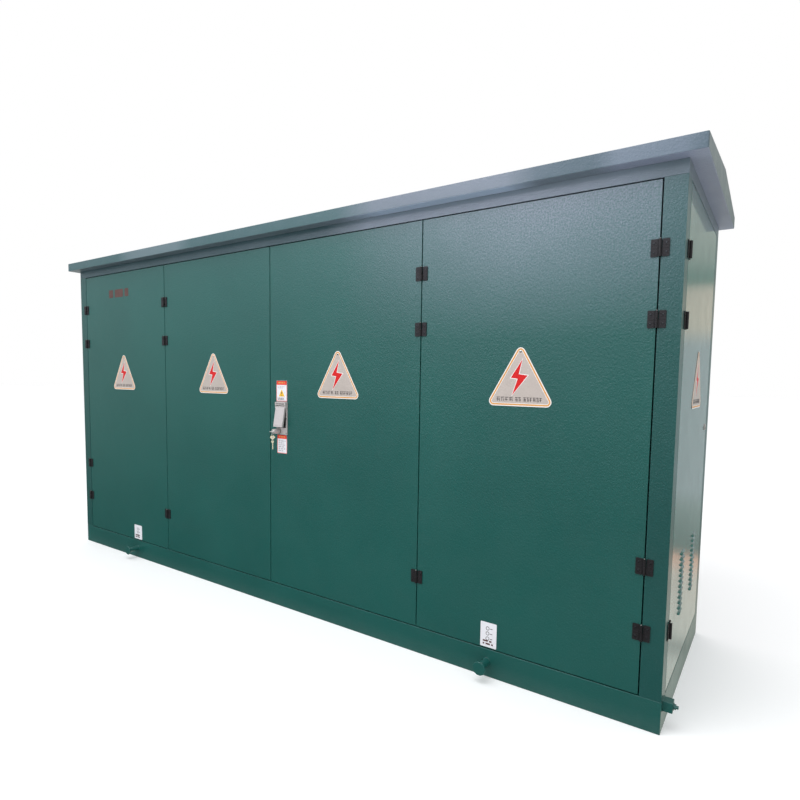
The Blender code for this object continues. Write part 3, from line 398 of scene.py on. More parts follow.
def rounded(x, z, radius, steps=4):
    """A rectangle's outline with round corners, in (right, up)."""
    outline = []
    for cx, cz, start in ((x[1] - radius, z[1] - radius, 0), (x[0] + radius, z[1] - radius, 90),
                          (x[0] + radius, z[0] + radius, 180), (x[1] - radius, z[0] + radius, 270)):
        for step in range(steps + 1):
            turn = math.radians(start + 90 * step / steps)
            outline.append((cx + radius * math.cos(turn), cz + radius * math.sin(turn)))
    return outline


def around(middle, half):
    return (middle - half, middle + half)


def inset_span(span, amount):
    return (span[0] + amount, span[1] - amount)


def slab(x, z, radius, steps, low, high):
    """A plate with round corners, standing out from the wall."""
    return prism(rounded(x, z, radius, steps), low, high)


def border(x, z, width, radii, steps, low, high):
    """A plate's rim of a given width, with round corners."""
    inner = rounded(inset_span(x, width), inset_span(z, width), radii[1], steps)
    return ring(rounded(x, z, radii[0], steps), inner, low, high)


def washer(a, b, radii, sides, low, high):
    """A flat ring at (right, up)."""
    return ring(circle(a, b, radii[0], sides), circle(a, b, radii[1], sides), low, high)


def loop(centre, radius, wire, steps, sides, along=(1, 0, 0), rise=(0, 0, 1)):
    """A closed ring of round wire in the plane of two directions."""
    centre, along, rise = Vector(centre), Vector(along) * radius, Vector(rise) * radius
    turns = [2 * math.pi * i / steps for i in range(steps)]
    return tube([centre + along * math.cos(t) + rise * math.sin(t) for t in turns], wire, sides, closed=True)


def raised(face, profile):
    """(radius, height) points, with their heights above a face."""
    return [(radius, face + height) for radius, height in profile]


def hexagon(a, b, across):
    return circle(a, b, across / math.sqrt(3), 6)


def tilted(shape, angle, pivot):
    """A shape turned in the wall's plane about a (right, up) pivot."""
    c, s = math.cos(angle), math.sin(angle)
    points = [(pivot[0] + c * (x - pivot[0]) - s * (z - pivot[1]), y,
               pivot[1] + s * (x - pivot[0]) + c * (z - pivot[1])) for x, y, z in shape[0]]
    return points, shape[1]


def piece(name, body, parts, wall="row", bevel=0.0, smooth=35.0, replaces=()):
    """One visible piece on a CAD body, from {material: [shapes]} in a wall's own frame."""
    mesh_data = bmesh.new()
    for index, shapes in enumerate(parts.values()):
        for points, faces in shapes:
            corners = [mesh_data.verts.new(WALLS[wall] @ Vector(p)) for p in points]
            for face in faces:
                mesh_data.faces.new([corners[i] for i in face]).material_index = index
    bmesh.ops.recalc_face_normals(mesh_data, faces=mesh_data.faces)
    mesh = bpy.data.meshes.new(name)
    mesh_data.to_mesh(mesh)
    mesh_data.free()
    for material in parts:
        mesh.materials.append(MATERIALS[material])
    mesh.shade_smooth()
    mesh.set_sharp_from_angle(angle=math.radians(smooth))
    thing = bpy.data.objects.new(name, mesh)
    bpy.context.scene.collection.objects.link(thing)
    if bevel:
        round_off(thing, bevel)
    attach(thing, body)
    if replaces:
        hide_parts(*replaces)
    return thing


def round_off(thing, width):
    """Small real radii on a piece's sharp edges, so that they catch the light."""
    step = thing.modifiers.new("edge_radius", "BEVEL")
    step.width, step.segments, step.limit_method = width, 2, "ANGLE"
    step.angle_limit = math.radians(32.0)
    step.miter_outer = "MITER_ARC"
    normals = thing.modifiers.new("face_normals", "WEIGHTED_NORMAL")
    normals.keep_sharp = True


# ---------------------------------------------------------------- the CAD parts' own finish

EDGE_RADIUS = {
    "roof": 0.0025, "top_frame": 0.0004, "post_front_left": 0.0006, "post_front_right": 0.0006,
    "base_frame": 0.002, "transformer_tank": 0.0015, "lock_cover": 0.0008, "lock_plate": 0.0007,
    "lock_key": 0.0004, "hv_bushings": 0.0, "hv_cables": 0.0, "lv_busbars": 0.0006,
}
FINISH = {"roof": "roof_coat", "top_frame": "rail_coat", "door_left": "end_coat", "door_right": "end_coat"}
FINISH.update({name: "post_coat" for name in NODES if name.startswith("post_")})
for row in frame["record"]["subparts"]:
    node = NODES[row["node"]]
    name, slot_name = row["node"], row["material_slot"]
    node.data.materials.clear()
    node.data.materials.append(MATERIALS[FINISH.get(name, slot_name)])
    node.data.shade_smooth()
    weld = node.modifiers.new("weld", "WELD")
    weld.merge_threshold = 0.00001
    width = EDGE_RADIUS.get(name, 0.001 if slot_name in ("green_coat", "equipment_grey") else 0.0005)
    if width:
        round_off(node, width)


# ---------------------------------------------------------------- hinges

HINGE_HALF, BARREL, TIP = 0.03, 0.0055, 0.0007


def hinge(side, z, holds_pin, far_side=False):
    """Half a hinge beside a pin at 0: a leaf with ribs and screws, and its half of the barrel."""
    toward = -side if far_side else side
    leaf = sorted((toward * HINGE_OUT, toward * HINGE_HALF))
    black = [slab(leaf, around(z, HINGE_HALF), 0.003, 3, 0.0003, 0.0033)]
    for step in (-0.021, -0.0105, 0.0, 0.0105, 0.021):
        black.append(slab(inset_span(leaf, 0.0022), around(z + step, 0.0026), 0.001, 2, 0.003, 0.0039))
    low, high = (z - HINGE_HALF, z - 0.0003) if holds_pin else (z + 0.0003, z + HINGE_HALF)
    black.append(lathe([(BARREL - TIP, low), (BARREL, low + TIP), (BARREL, high - TIP), (BARREL - TIP, high)],
                       (0, HINGE_OUT, 0), "Z", 20))
    neck = sorted((toward * 0.002, toward * 0.008))
    black.append(box(neck, (0.0006, 0.0034), (low + 0.0008, high - 0.0008)))
    head = [(0.0014, 0.0043), (0.0016, 0.0046), (0.0034, 0.0043), (0.004, 0.0036), (0.004, 0.003)]
    screws = [lathe(head, (toward * 0.02, 0.0, z + lift), "N", 16) for lift in (-0.0158, 0.0158)]
    top = z + HINGE_HALF
    pin = lathe([(0.003, top - 0.0006), (0.003, top + 0.001), (0.0022, top + 0.0016)],
                (0, HINGE_OUT, 0), "Z", 16)
    return black, screws, [] if holds_pin else [pin]


def moved(shapes, along):
    return [([(x + along, y, z) for x, y, z in points], faces) for points, faces in shapes]


def hinge_set(name, node, body, wall, axis, side, heights, holds_pin, far_side=False):
    parts = {"hinge_black": [], "dark_steel": [], "zinc": []}
    for z in heights:
        for found, into in zip(hinge(side, z, holds_pin, far_side), parts.values()):
            into += moved(found, axis)
    if holds_pin:
        del parts["zinc"]
    piece(name, body, parts, wall, replaces=(node,), bevel=0.0004)


def build_hinges():
    for end, outer, inner, side in (("left", "door_1", "door_2", 1), ("right", "door_4", "door_3", -1)):
        post, fold = -side * FRONT_AXIS, -side * LEAF
        for name, node, *place in (
                (f"post_{end}", f"pins_post_{end}", "frame", "front", post, -side, POST_HINGES, True),
                (f"post_{outer}", f"sleeves_{outer}", outer, "front", post, side, POST_HINGES, False),
                (f"fold_{outer}", f"pins_{outer}", outer, "front", fold, side, FOLD_HINGES, True, True),
                (f"fold_{inner}", f"sleeves_{inner}", inner, "front", fold, side, FOLD_HINGES, False)):
            hinge_set(f"hinges_{name}", f"hinge_{node}", *place)
    for end, side in (("left", -1), ("right", 1)):
        door, axis = f"door_{end}", side * END_AXIS
        hinge_set(f"hinges_{end}_end", f"hinge_pins_{end}_end", "frame", end, axis, -side, FOLD_HINGES, True)
        hinge_set(f"hinges_{end}_door", f"hinge_sleeves_{door}", door, end, axis, side, FOLD_HINGES, False)


# ---------------------------------------------------------------- signs and labels

PLATE_SIDE, PLATE_CORNER, PLATE_BASE, PLATE_FACE = 0.293, 0.02, 1.152, 0.0018


def plate_outline(x, inwards):
    """A round-cornered triangle parallel to the warning plate's own edge."""
    radius = max(PLATE_CORNER - inwards, 0.004)
    reach = PLATE_SIDE / math.sqrt(3) - 2 * PLATE_CORNER
    centre = PLATE_BASE + reach / 2 + PLATE_CORNER
    reach -= 2 * max(inwards - (PLATE_CORNER - radius), 0.0)
    outline = []
    for lean in (math.radians(90 + 120 * point) for point in range(3)):
        for turn in (lean + math.radians(-60 + 15 * step) for step in range(9)):
            outline.append((x + reach * math.cos(lean) + radius * math.cos(turn),
                            centre + reach * math.sin(lean) + radius * math.sin(turn)))
    return outline


def grown(outline, amount):
    """An outline's corners moved outwards so that every side moves by the amount, sharp corners by less."""
    turning = sum(a[0] * b[1] - b[0] * a[1] for a, b in zip(outline, outline[1:] + outline[:1]))
    corners = []
    for before, at, after in zip(outline[-1:] + outline[:-1], outline, outline[1:] + outline[:1]):
        into, away = (Vector(at) - Vector(before)).normalized(), (Vector(after) - Vector(at)).normalized()
        side = 1 if turning > 0 else -1
        out = [Vector((run.y, -run.x)) * side for run in (into, away)]
        middle = (out[0] + out[1]).normalized()
        corners.append(tuple(Vector(at) + middle * min(amount / max(middle.dot(out[0]), 0.2), 2.2 * amount)))
    return corners


def build_sign(name, body, wall, x):
    """Generic printing on a warning plate: a border, a plain bolt, a row of marks, and a rivet at the top."""
    rim_layer, line_layer, top_layer = [(PLATE_FACE + low, PLATE_FACE + high) for low, high in
                                        ((-0.0002, 0.0002), (-0.0002, 0.0003), (0.0, 0.0004))]
    rim, inner_rim = [ring(plate_outline(x, outer), plate_outline(x, inner), *rim_layer)
                      for outer, inner in ((0.0004, 0.0042), (0.01, 0.0122))]
    edge = ring(plate_outline(x, 0.004), plate_outline(x, 0.0101), *line_layer)
    corners = [(0.0085, 0.1865), (-0.0053, 0.1279), (0.032, 0.123), (-0.0312, 0.044), (-0.0093, 0.1096),
               (-0.0387, 0.1133)]
    bolt, halo = [[(x + a, PLATE_BASE + b) for a, b in outline]
                  for outline in (corners, grown(corners, 0.003))]
    marks, at, stroke = [], x - 0.098, 0.0026
    for group, wide, gap in ((4, 0.0148, 0.0034), (2, 0.01, 0.0032), (6, 0.01, 0.0032)):
        for count in range(group):
            low, high = PLATE_BASE + 0.0195 + 0.001 * (count % 2), PLATE_BASE + 0.0365
            bars = [((0, wide), (high - stroke, high)),
                    ((wide * 0.25, wide * 0.25 + stroke), (low, high - stroke))]
            if count % 3 != 1:
                bars.append(((0, wide * 0.8), (low + 0.006, low + 0.006 + stroke)))
            if count % 3 != 2:
                bars.append(((wide - stroke, wide), (low, high - 0.006)))
            marks += [box((at + left, at + right), top_layer, up) for (left, right), up in bars]
            at += wide + gap
        at += 0.008
    rivet = raised(PLATE_FACE, [(0, 0.0022), (0.003, 0.0019), (0.0048, 0.0008), (0.005, -0.0002)])
    piece(name, body, {"rim": [rim, inner_rim, prism(halo, *line_layer)], "orange": [edge],
                       "red": [prism(bolt, *top_layer)], "ink": marks,
                       "zinc": [lathe(rivet, (x, 0, 1.37), "N", 16)]}, wall)


def rows_of_blocks(x, z, lines, rng, thick, gap=0.5, height=0.6):
    """Generic lines of print: short blocks of uneven length."""
    shapes = []
    pitch = (z[1] - z[0]) / lines
    for line in range(lines):
        middle = z[1] - pitch * (line + 0.5)
        at = x[0]
        end = x[1] - rng.uniform(0, 0.25) * (x[1] - x[0])
        while at < end - pitch * 0.4:
            wide = min(pitch * rng.uniform(0.6, 2.2), end - at)
            shapes.append(box((at, at + wide), thick, around(middle, pitch * height / 2)))
            at += wide + pitch * gap
    return shapes


FILM, INK, OVERPRINT = (0.00005, 0.0004), (0.0003, 0.0006), (0.0003, 0.00075)


def build_label(name, x, z, header, seed, triangle=False):
    """A generic sticker: film, coloured header and edge, then a plain triangle or six lines of blocks."""
    rng = random.Random(seed)
    top = z[1] - header
    outline = [inset_span(span, 0.0008) for span in (x, z)]
    edge = [border(*outline, 0.0024, (0.002, 0.001), 3, *INK),
            slab(outline[0], (top, outline[1][1]), 0.0015, 3, *INK)]
    title = rows_of_blocks(inset_span(x, 0.014), inset_span((top, z[1]), header * 0.25), 1, rng, OVERPRINT)
    parts = {"film": [slab(x, z, 0.0025, 3, *FILM)], "header": edge, "orange": title}
    inner, tall = inset_span(x, 0.01), top - z[0]
    if triangle:
        middle, low, size = (x[0] + x[1]) / 2, z[0] + tall * 0.3, (x[1] - x[0]) * 0.27
        corners = [(middle - size, low), (middle + size, low), (middle, low + size * 1.75)]
        parts["yellow"] = [prism(corners, *INK)]
        stroke = [(middle + a, low + size * b) for a, b in
                  ((-0.0022, 0.55), (0.0022, 0.55), (0.003, 1.15), (-0.003, 1.15))]
        parts["grey"] = rows_of_blocks(inner, (top - tall * 0.22, top - tall * 0.06), 2, rng, INK)
        dot = circle(middle, low + size * 0.28, 0.0026, 10)
        parts["ink"] = [prism(stroke, *OVERPRINT), prism(dot, *OVERPRINT)]
        parts["ink"] += rows_of_blocks(inner, (z[0] + 0.008, low - 0.006), 2, rng, INK)
    else:
        parts["grey"] = rows_of_blocks(inner, (z[0] + 0.009, top - 0.007), 6, rng, INK)
    piece(name, "door_3", parts, "front")


def build_info_label(name, body, x, z, seed):
    """A generic small instruction label: plain ring and dash marks over two lines of blocks."""
    rng = random.Random(seed)
    middle, ink = (x[0] + x[1]) / 2, []
    for low in (z[1] - 0.026 - 0.022 * row for row in range(3)):
        ink.append(washer(middle - 0.004, low, (0.0085, 0.006), 16, *INK))
        ink.append(box((middle + 0.008, middle + 0.018), INK, around(low, 0.0015)))
    red = rows_of_blocks(inset_span(x, 0.012), (z[0] + 0.008, z[0] + 0.032), 2, rng, INK)
    piece(name, body, {"film": [slab(x, z, 0.003, 3, *FILM)], "ink": ink, "faded": red}, "front")


def build_signs():
    for number in range(1, 5):
        x = (number - 2.5) * LEAF + PLATE_SHIFT.get(number, 0)
        build_sign(f"sign_print_{number}", f"door_{number}", "front", x)
    for end in ("left", "right"):
        build_sign(f"sign_print_{end}", f"door_{end}", end, 0.0)
    build_label("label_over_lock", (0.049, 0.129), (1.1245, 1.236), 0.024, 3, True)
    build_label("label_under_lock", (0.055, 0.128), (0.846, 0.9465), 0.022, 4)
    build_info_label("label_door_1", "door_1", (-1.358, -1.268), (0.129, 0.225), 5)
    build_info_label("label_door_4", "door_4", (1.288, 1.362), (0.129, 0.236), 6)
    paint = (0.00005, 0.0002)
    stencil = rows_of_blocks((-1.613, -1.313), (1.776, 1.838), 1, random.Random(7), paint, 0.35, 0.85)
    piece("stencil_door_1", "door_1", {"faded": stencil}, "front")


# ---------------------------------------------------------------- lock, keys and rods

LOCK_X, LOCK_Z, LOCK_FACE = (0.0545, 0.133), 0.948, 0.0051
COVER_PIN_OUT, COVER_PIN_UP = 0.0113, 1.0955
KEY_X, KEY_Z = 0.07, 0.965


def build_lock():
    """The lock plate's painted shade (a thin dark sheet where its cover shades it), its fixing screws and a
    worn, engraved-looking strip on its brow.
    """
    head = raised(LOCK_FACE, [(0.0012, 0.0005), (0.0014, 0.001), (0.003, 0.0008), (0.0034, 0.0)])
    dark = [lathe(head, (LOCK_X[1] - 0.0055, 0, LOCK_Z + up), "N", 16) for up in (0.006, 0.085)]
    brow = LOCK_FACE + 0.012
    for i in (i for i in range(16) if i % 6 != 4):
        left, high = LOCK_X[0] + 0.008 + 0.0038 * i, 1.1165 - 0.0015 * (i % 3)
        dark.append(box((left, left + 0.0022), (brow - 0.0002, brow + 0.0004), (1.1085, high)))
    # Painted shade: a thin dark sheet on the plate's face where the cover shades it.
    recess_painted_shade = slab((0.06, 0.1245), (0.984, 1.088), 0.003, 3, LOCK_FACE - 0.0002, LOCK_FACE + 0.0004)
    seat = washer(KEY_X, KEY_Z, (0.0185, 0.0136), 24, LOCK_FACE, LOCK_FACE + 0.0022)
    piece("lock_plate_details", "door_3", {"dark_steel": dark, "control_black": [recess_painted_shade], "zinc": [seat]},
          "front")
    rolled = [tube([(a, COVER_PIN_OUT, COVER_PIN_UP), (b, COVER_PIN_OUT, COVER_PIN_UP)], 0.0046, 16)
              for a, b in ((0.0615, 0.072), (0.0728, 0.1137), (0.1145, 0.125))]
    lip, faces = slab((0.064, 0.1225), (-0.1005, -0.0965), 0.0015, 3, 0.0, 0.0012)
    c, s = math.cos(math.radians(10)), math.sin(math.radians(10))
    lip = [(a, COVER_PIN_OUT + 0.0052 + n * c - b * s, COVER_PIN_UP + n * s + b * c) for a, n, b in lip]
    piece("lock_cover_details", "lock_cover", {"satin_steel": rolled + [(lip, faces)]}, "front",
          smooth=60)


def flat_ring(outer, inner, low, high):
    """A holed plate lying level: outlines in (right, out), thickness up."""
    points, faces = ring(outer, inner, low, high)
    return [(a, b, c) for a, c, b in points], faces


def build_keys():
    """The key in its barrel with its cam behind; a ring, a plain tag and a spare key hanging from it."""
    x, z = KEY_X, KEY_Z
    shaft = [(0.0078, 0.0463), (0.0089, 0.0452), (0.0089, -0.0246), (0.0292, -0.0246), (0.03, -0.0252),
             (0.03, -0.0272), (0.0292, -0.0278), (0.012, -0.0278), (0.012, -0.033), (0.006, -0.0345)]
    flat = around(z, 0.0014)
    bow = flat_ring([(x + a * 1.12, b) for a, b in circle(0, 0.0555, 0.0104, 28)],
                    circle(x, 0.0585, 0.003, 28), *flat)
    neck = box(around(x, 0.0045), (0.0455, 0.0475), flat)
    piece("lock_key_detailed", "lock_key", {"key_metal": [lathe(shaft, (x, 0, z), "N", 32), bow, neck]},
          "front", replaces=("lock_key",), bevel=0.0004)

    out, radius = 0.0482, 0.0105
    middle = z + 0.0024 - radius
    wire = loop((x, out, middle), radius, 0.001, 40, 8)
    tag_z = middle - radius - 0.0115
    tag = tilted(holed_plate((x, tag_z), 0.0105, 0.003, (-0.0013, 0.0013)), math.radians(45), (x, tag_z))
    mark = prism(circle(x, tag_z - 0.002, 0.0042, 20), -0.0015, 0.0015)
    key_z = tag_z - 0.0235
    head = ring(circle(x, key_z, 0.0072, 20), circle(x, key_z + 0.0032, 0.0024, 20), -0.001, 0.001)
    teeth = [(-0.0016, -0.0065), (0.003, -0.0065), (0.003, -0.0385), (0.0012, -0.0415), (-0.0016, -0.0385)]
    for notch in (-0.0325, -0.0235):
        teeth += [(-0.0016, notch - 0.002), (-0.0002, notch), (-0.0016, notch + 0.002)]
    blade = prism([(x + a, key_z + b) for a, b in teeth], -0.001, 0.001)
    link = loop((x, 0, tag_z - 0.0185), 1.0, 0.0008, 24, 8, (0.0042, 0, 0), (0, 0.0012, 0.0036))
    c, s = math.cos(math.radians(-38)), math.sin(math.radians(-38))

    def hung(shape):
        return [(x + (a - x) * c - n * s, out + (a - x) * s + n * c, b) for a, n, b in shape[0]], shape[1]

    piece("key_ring", "door_3", {"zinc": [wire, hung(link)]}, "front", smooth=80)
    piece("key_tag", "door_3", {"ivory": [hung(tag)], "grey": [hung(mark)]}, "front", bevel=0.0003)
    piece("spare_key", "door_3", {"ivory": [hung(head), hung(blade)]}, "front", bevel=0.0002)


def holed_plate(at, half, hole, thick):
    """A square plate with round corners and a round hole near one corner."""
    outer = rounded(around(at[0], half), around(at[1], half), 0.003, 4)
    hole_at = (at[0] + half * 0.62, at[1] + half * 0.62)
    inner = circle(*hole_at, hole, len(outer), math.atan2(outer[0][1] - hole_at[1], outer[0][0] - hole_at[0]))
    return ring(outer, inner, *thick)


# ---------------------------------------------------------------- louvres

def louvre(x, z, long, tall, out):
    """A pressed hood over a slot: closed at the top and ends, open below."""
    top, low = z + tall * 0.75, z - tall * 0.2
    depth = [(top, 0.0001), (top - 0.0022, out * 0.45), (top - 0.006, out * 0.86), (low, out)]
    left, right = around(x, long / 2)
    points, faces = [], []
    for end_x, scale in ((left, 0.0), (left + 0.004, 1.0), (right - 0.004, 1.0), (right, 0.0)):
        for inner in (0.0, 0.001):
            points += [(end_x, max(n * scale - inner * scale, 0.00005 + inner * 0.02), h - inner * 0.6)
                       for h, n in depth]
    for span in range(3):
        a, b = span * 8, (span + 1) * 8
        for layer in (0, 4):
            faces += [(a + layer + k, a + layer + k + 1, b + layer + k + 1, b + layer + k) for k in range(3)]
        faces += [(a + 3, a + 7, b + 7, b + 3), (a, b, b + 4, a + 4)]
    faces += [(a + k, a + k + 1, a + k + 5, a + k + 4) for a in (0, 24) for k in range(3)]
    return points, faces


def build_louvres():
    for end in ("left", "right"):
        hoods = [louvre(column, 0.3385 + 0.022 * row, 0.075, 0.0115, 0.006)
                 for column in (-0.16, 0.16) for row in range(12)]
        piece(f"louvres_{end}", f"door_{end}", {"end_coat": hoods}, end, smooth=60)
    rear = [louvre(0.0, low + 0.03 * row, 0.655, 0.017, 0.01) for low in (0.355, 1.455) for row in range(8)]
    piece("louvres_rear", "frame", {"green_coat": rear}, "rear", smooth=60)


# ---------------------------------------------------------------- fixings on the frame

def hex_bolt(at, axis, across, washer_size, head):
    """A bolt head on a washer, standing out along an axis from a face."""
    shapes = [lathe([(washer_size / 2, 0.0), (washer_size / 2, 0.0022)], at, axis, 24)]
    middle, face = (at[1:], at[0]) if axis == "X" else (at[:2], at[2])
    shapes.append(prism(hexagon(*middle, across), face + 0.002, face + 0.0022 + head, axis))
    if axis == "X":
        thread = [(0.006, 0.002), (0.006, head + 0.0092), (0.005, head + 0.01)]
        shapes.append(lathe(thread, at, "X", 16))
    return shapes


def build_fixings():
    boss = hex_bolt((HALF_W + 0.034, -0.457, 0.099), "X", 0.017, 0.026, 0.007)
    seam = [(HALF_W, y, z) for y, z in
            ((-0.4365, 0.0805), (-0.4365, 0.1175), (-0.4775, 0.1175), (-0.4775, 0.0805))]
    piece("earth_bolt", "frame", {"green_coat": boss + [tube(seam, 0.003, 10, closed=True)]}, bevel=0.0006)
    places = [(-0.53 + 0.106 * i, y) for i in range(11) for y in (-0.216, 0.216)]
    places += [(x, y) for y in (-0.11, 0.0, 0.11) for x in (-0.546, 0.546)]
    bolts = [shape for place in places for shape in hex_bolt((*place, TANK_LID), "Z", 0.013, 0.017, 0.006)]
    piece("tank_lid_bolts", "frame", {"zinc": bolts}, bevel=0.0004)


# ---------------------------------------------------------------- the equipment inside

def screw(a, b, face, radius=0.005):
    """A pan-head screw standing out from a face at (right, up)."""
    profile = [(radius * 0.35, 0.0012), (radius * 0.4, 0.002), (radius * 0.8, 0.0017), (radius, 0.0002)]
    return lathe(raised(face, profile), (a, 0, b), "N", 16)


def dome(a, b, face, radius, height):
    """A round lens or button at (right, up)."""
    profile = [(0, height), (radius * 0.6, height * 0.88), (radius * 0.9, height * 0.5), (radius, 0.0002)]
    return lathe(raised(face, profile), (a, 0, b), "N", 20)


def dial(a, b, face, radius, turn, square=0.0):
    """A gauge: its bezel, its pale face with a scale of ticks, and its needle."""
    outer = circle(a, b, radius + 0.006, 32)
    if square:
        outer = rounded(around(a, square), around(b, square), 0.006, 7)
    bezel = ring(outer, circle(a, b, radius, len(outer)), face + 0.0002, face + 0.012)
    plate = prism(circle(a, b, radius, 32), face + 0.0002, face + 0.004)
    ink = []
    for angle in (math.radians(225 - 27 * step) for step in range(11)):
        at = (a + radius * 0.8 * math.cos(angle), b + radius * 0.8 * math.sin(angle))
        tick = box(around(at[0], radius * 0.1), (face + 0.004, face + 0.0044), around(at[1], 0.0008))
        ink.append(tilted(tick, angle, at))
    needle = prism([(a - 0.0015, b - radius * 0.15), (a + 0.0015, b - radius * 0.15), (a, b + radius * 0.78)],
                   face + 0.005, face + 0.0062)
    ink += [tilted(needle, turn, (a, b)), dome(a, b, face + 0.004, 0.004, 0.004)]
    return bezel, plate, ink


def build_switchgear_front():
    """The high-voltage unit's front: panel edges, gauge, mimic line, indicator lenses and cover screws."""
    face, knob_x, knob_z, lens_z = SWITCH_FACE, -1.35, 0.95, 1.15
    edges = [border((-1.775, -0.925), z, 0.007, (0.012, 0.006), 4, face + 0.0002, face + 0.003)
             for z in ((0.235, 0.665), (0.695, 1.265))]
    screws = [screw(a, b, face, 0.007) for b in (0.255, 0.645) for a in (-1.755, -1.485, -1.215, -0.945)]
    collar = washer(knob_x, knob_z, (0.05, 0.0275), 40, face + 0.0002, face + 0.0022)
    dark = [box(around(knob_x, 0.002), (face, face + 0.0005), z) for z in ((0.735, 0.795), (1.135, 1.175))]
    dark += [box(around(knob_x, 0.042), (face, face + 0.0005), around(b, 0.002)) for b in (0.735, 1.175)]
    dark.append(washer(knob_x, 0.815, (0.02, 0.017), 24, face, face + 0.0005))
    tick = box((-1.287, -1.262), (face, face + 0.0006), around(knob_z, 0.0015))
    dark += [tilted(tick, math.radians(turn), (knob_x, knob_z)) for turn in (0, 90, 180)]
    bezel, plate, ink = dial(-1.63, lens_z, face, 0.034, math.radians(-35))
    places = (-1.13, -1.085, -1.04)
    lenses = [dome(a, lens_z, face, 0.011, 0.008) for a in places]
    sockets = [washer(a, 1.085, (0.012, 0.006), 20, face + 0.0002, face + 0.005) for a in places]
    window = border((-1.69, -1.57), (0.86, 0.96), 0.01, (0.01, 0.005), 4, face + 0.0002, face + 0.006)
    pane = slab((-1.68, -1.58), (0.87, 0.95), 0.005, 4, face + 0.0002, face + 0.003)
    piece("switchgear_front", "frame", {
        "equipment_grey": edges, "zinc": screws, "dark_steel": [collar, bezel, window] + sockets,
        "white_dial": [plate], "ink": ink + dark, "header": lenses, "control_black": [pane]},
        "front", bevel=0.0004)


def build_cable_fittings():
    """Glands where the cables enter the switchgear, cones over the bushings, bands in the phase colours."""
    glands, cones, bands = [], [], []
    for y in HV_ROWS:
        glands.append(prism(hexagon(-1.05, y, 0.046), 1.3003, 1.315, "Z"))
        glands.append(lathe([(0.019, 1.315), (0.019, 1.329), (0.016, 1.333)], (-1.05, y, 0), "Z", 24))
        cone = [(0.02, 1.353), (0.0215, 1.36), (0.018, 1.376), (0.015, 1.382), (0.015, 1.388)]
        cones.append(lathe(cone, (-0.4, y, 0), "Z", 24))
        bands.append(lathe([(0.0137, 0.0), (0.0137, 0.03)], (-0.78, y, 1.49), "X", 24))
    piece("cable_fittings", "frame", {
        "control_black": glands, "epoxy": cones, "yellow": bands[:1], "green_coat": bands[1:2],
        "header": bands[2:]}, bevel=0.0006)
    bolts = []
    for y in LV_ROWS:
        bolts += hex_bolt((0.38, y, TANK_LID + 0.1587), "Z", 0.014, 0.02, 0.006)
        for x in (0.885, 0.905):
            bolts += hex_bolt((x, y, TANK_LID + 0.177), "Z", 0.007, 0.009, 0.003)
    piece("busbar_bolts", "frame", {"zinc": bolts}, bevel=0.0004)


def build_tank_fittings():
    """On the tank: eyes for lifting the lid, a dial thermometer, a filler cap and a drain valve."""
    metal = []
    for x in (-0.5, 0.5):
        for y in (-0.17, 0.17):
            foot = [(0.014, 0.0002), (0.014, 0.008), (0.009, 0.012)]
            metal.append(lathe(foot, (x, y, TANK_LID), "Z", 20))
            metal.append(loop((x, y, TANK_LID + 0.028), 0.014, 0.0045, 24, 10, (0, 1, 0)))
    cap = [(0.03, 0.0002), (0.03, 0.006), (0.022, 0.008), (0.022, 0.04), (0.027, 0.042), (0.027, 0.058),
           (0.024, 0.061)]
    metal.append(lathe(cap, (0.2, 0.12, TANK_LID), "Z", 28))
    gauge_x, valve_z = 0.2, 0.215
    stem = [(0.016, 0.0002), (0.016, 0.012), (0.009, 0.014), (0.009, 0.06)]
    valve = [(0.022, 0.0002), (0.022, 0.01), (0.014, 0.012), (0.014, 0.045), (0.02, 0.047), (0.02, 0.062)]
    painted = [lathe(stem, (gauge_x, -0.12, TANK_LID), "Z", 20), lathe(valve, (0.53, 0.0, valve_z), "X", 24)]
    metal.append(prism(hexagon(0.0, valve_z, 0.026), 0.592, 0.606, "X"))
    piece("tank_fittings", "frame", {"zinc": metal, "equipment_grey": painted}, bevel=0.0006)
    gauge_z, out = TANK_LID + 0.085, -HALF_D + 0.132
    bezel, plate, ink = dial(gauge_x, gauge_z, out, 0.03, math.radians(40))
    back = prism(circle(gauge_x, gauge_z, 0.036, 32), out - 0.016, out + 0.0004)
    piece("tank_thermometer", "frame", {"dark_steel": [back, bezel], "white_dial": [plate], "ink": ink},
          "front", bevel=0.0004)


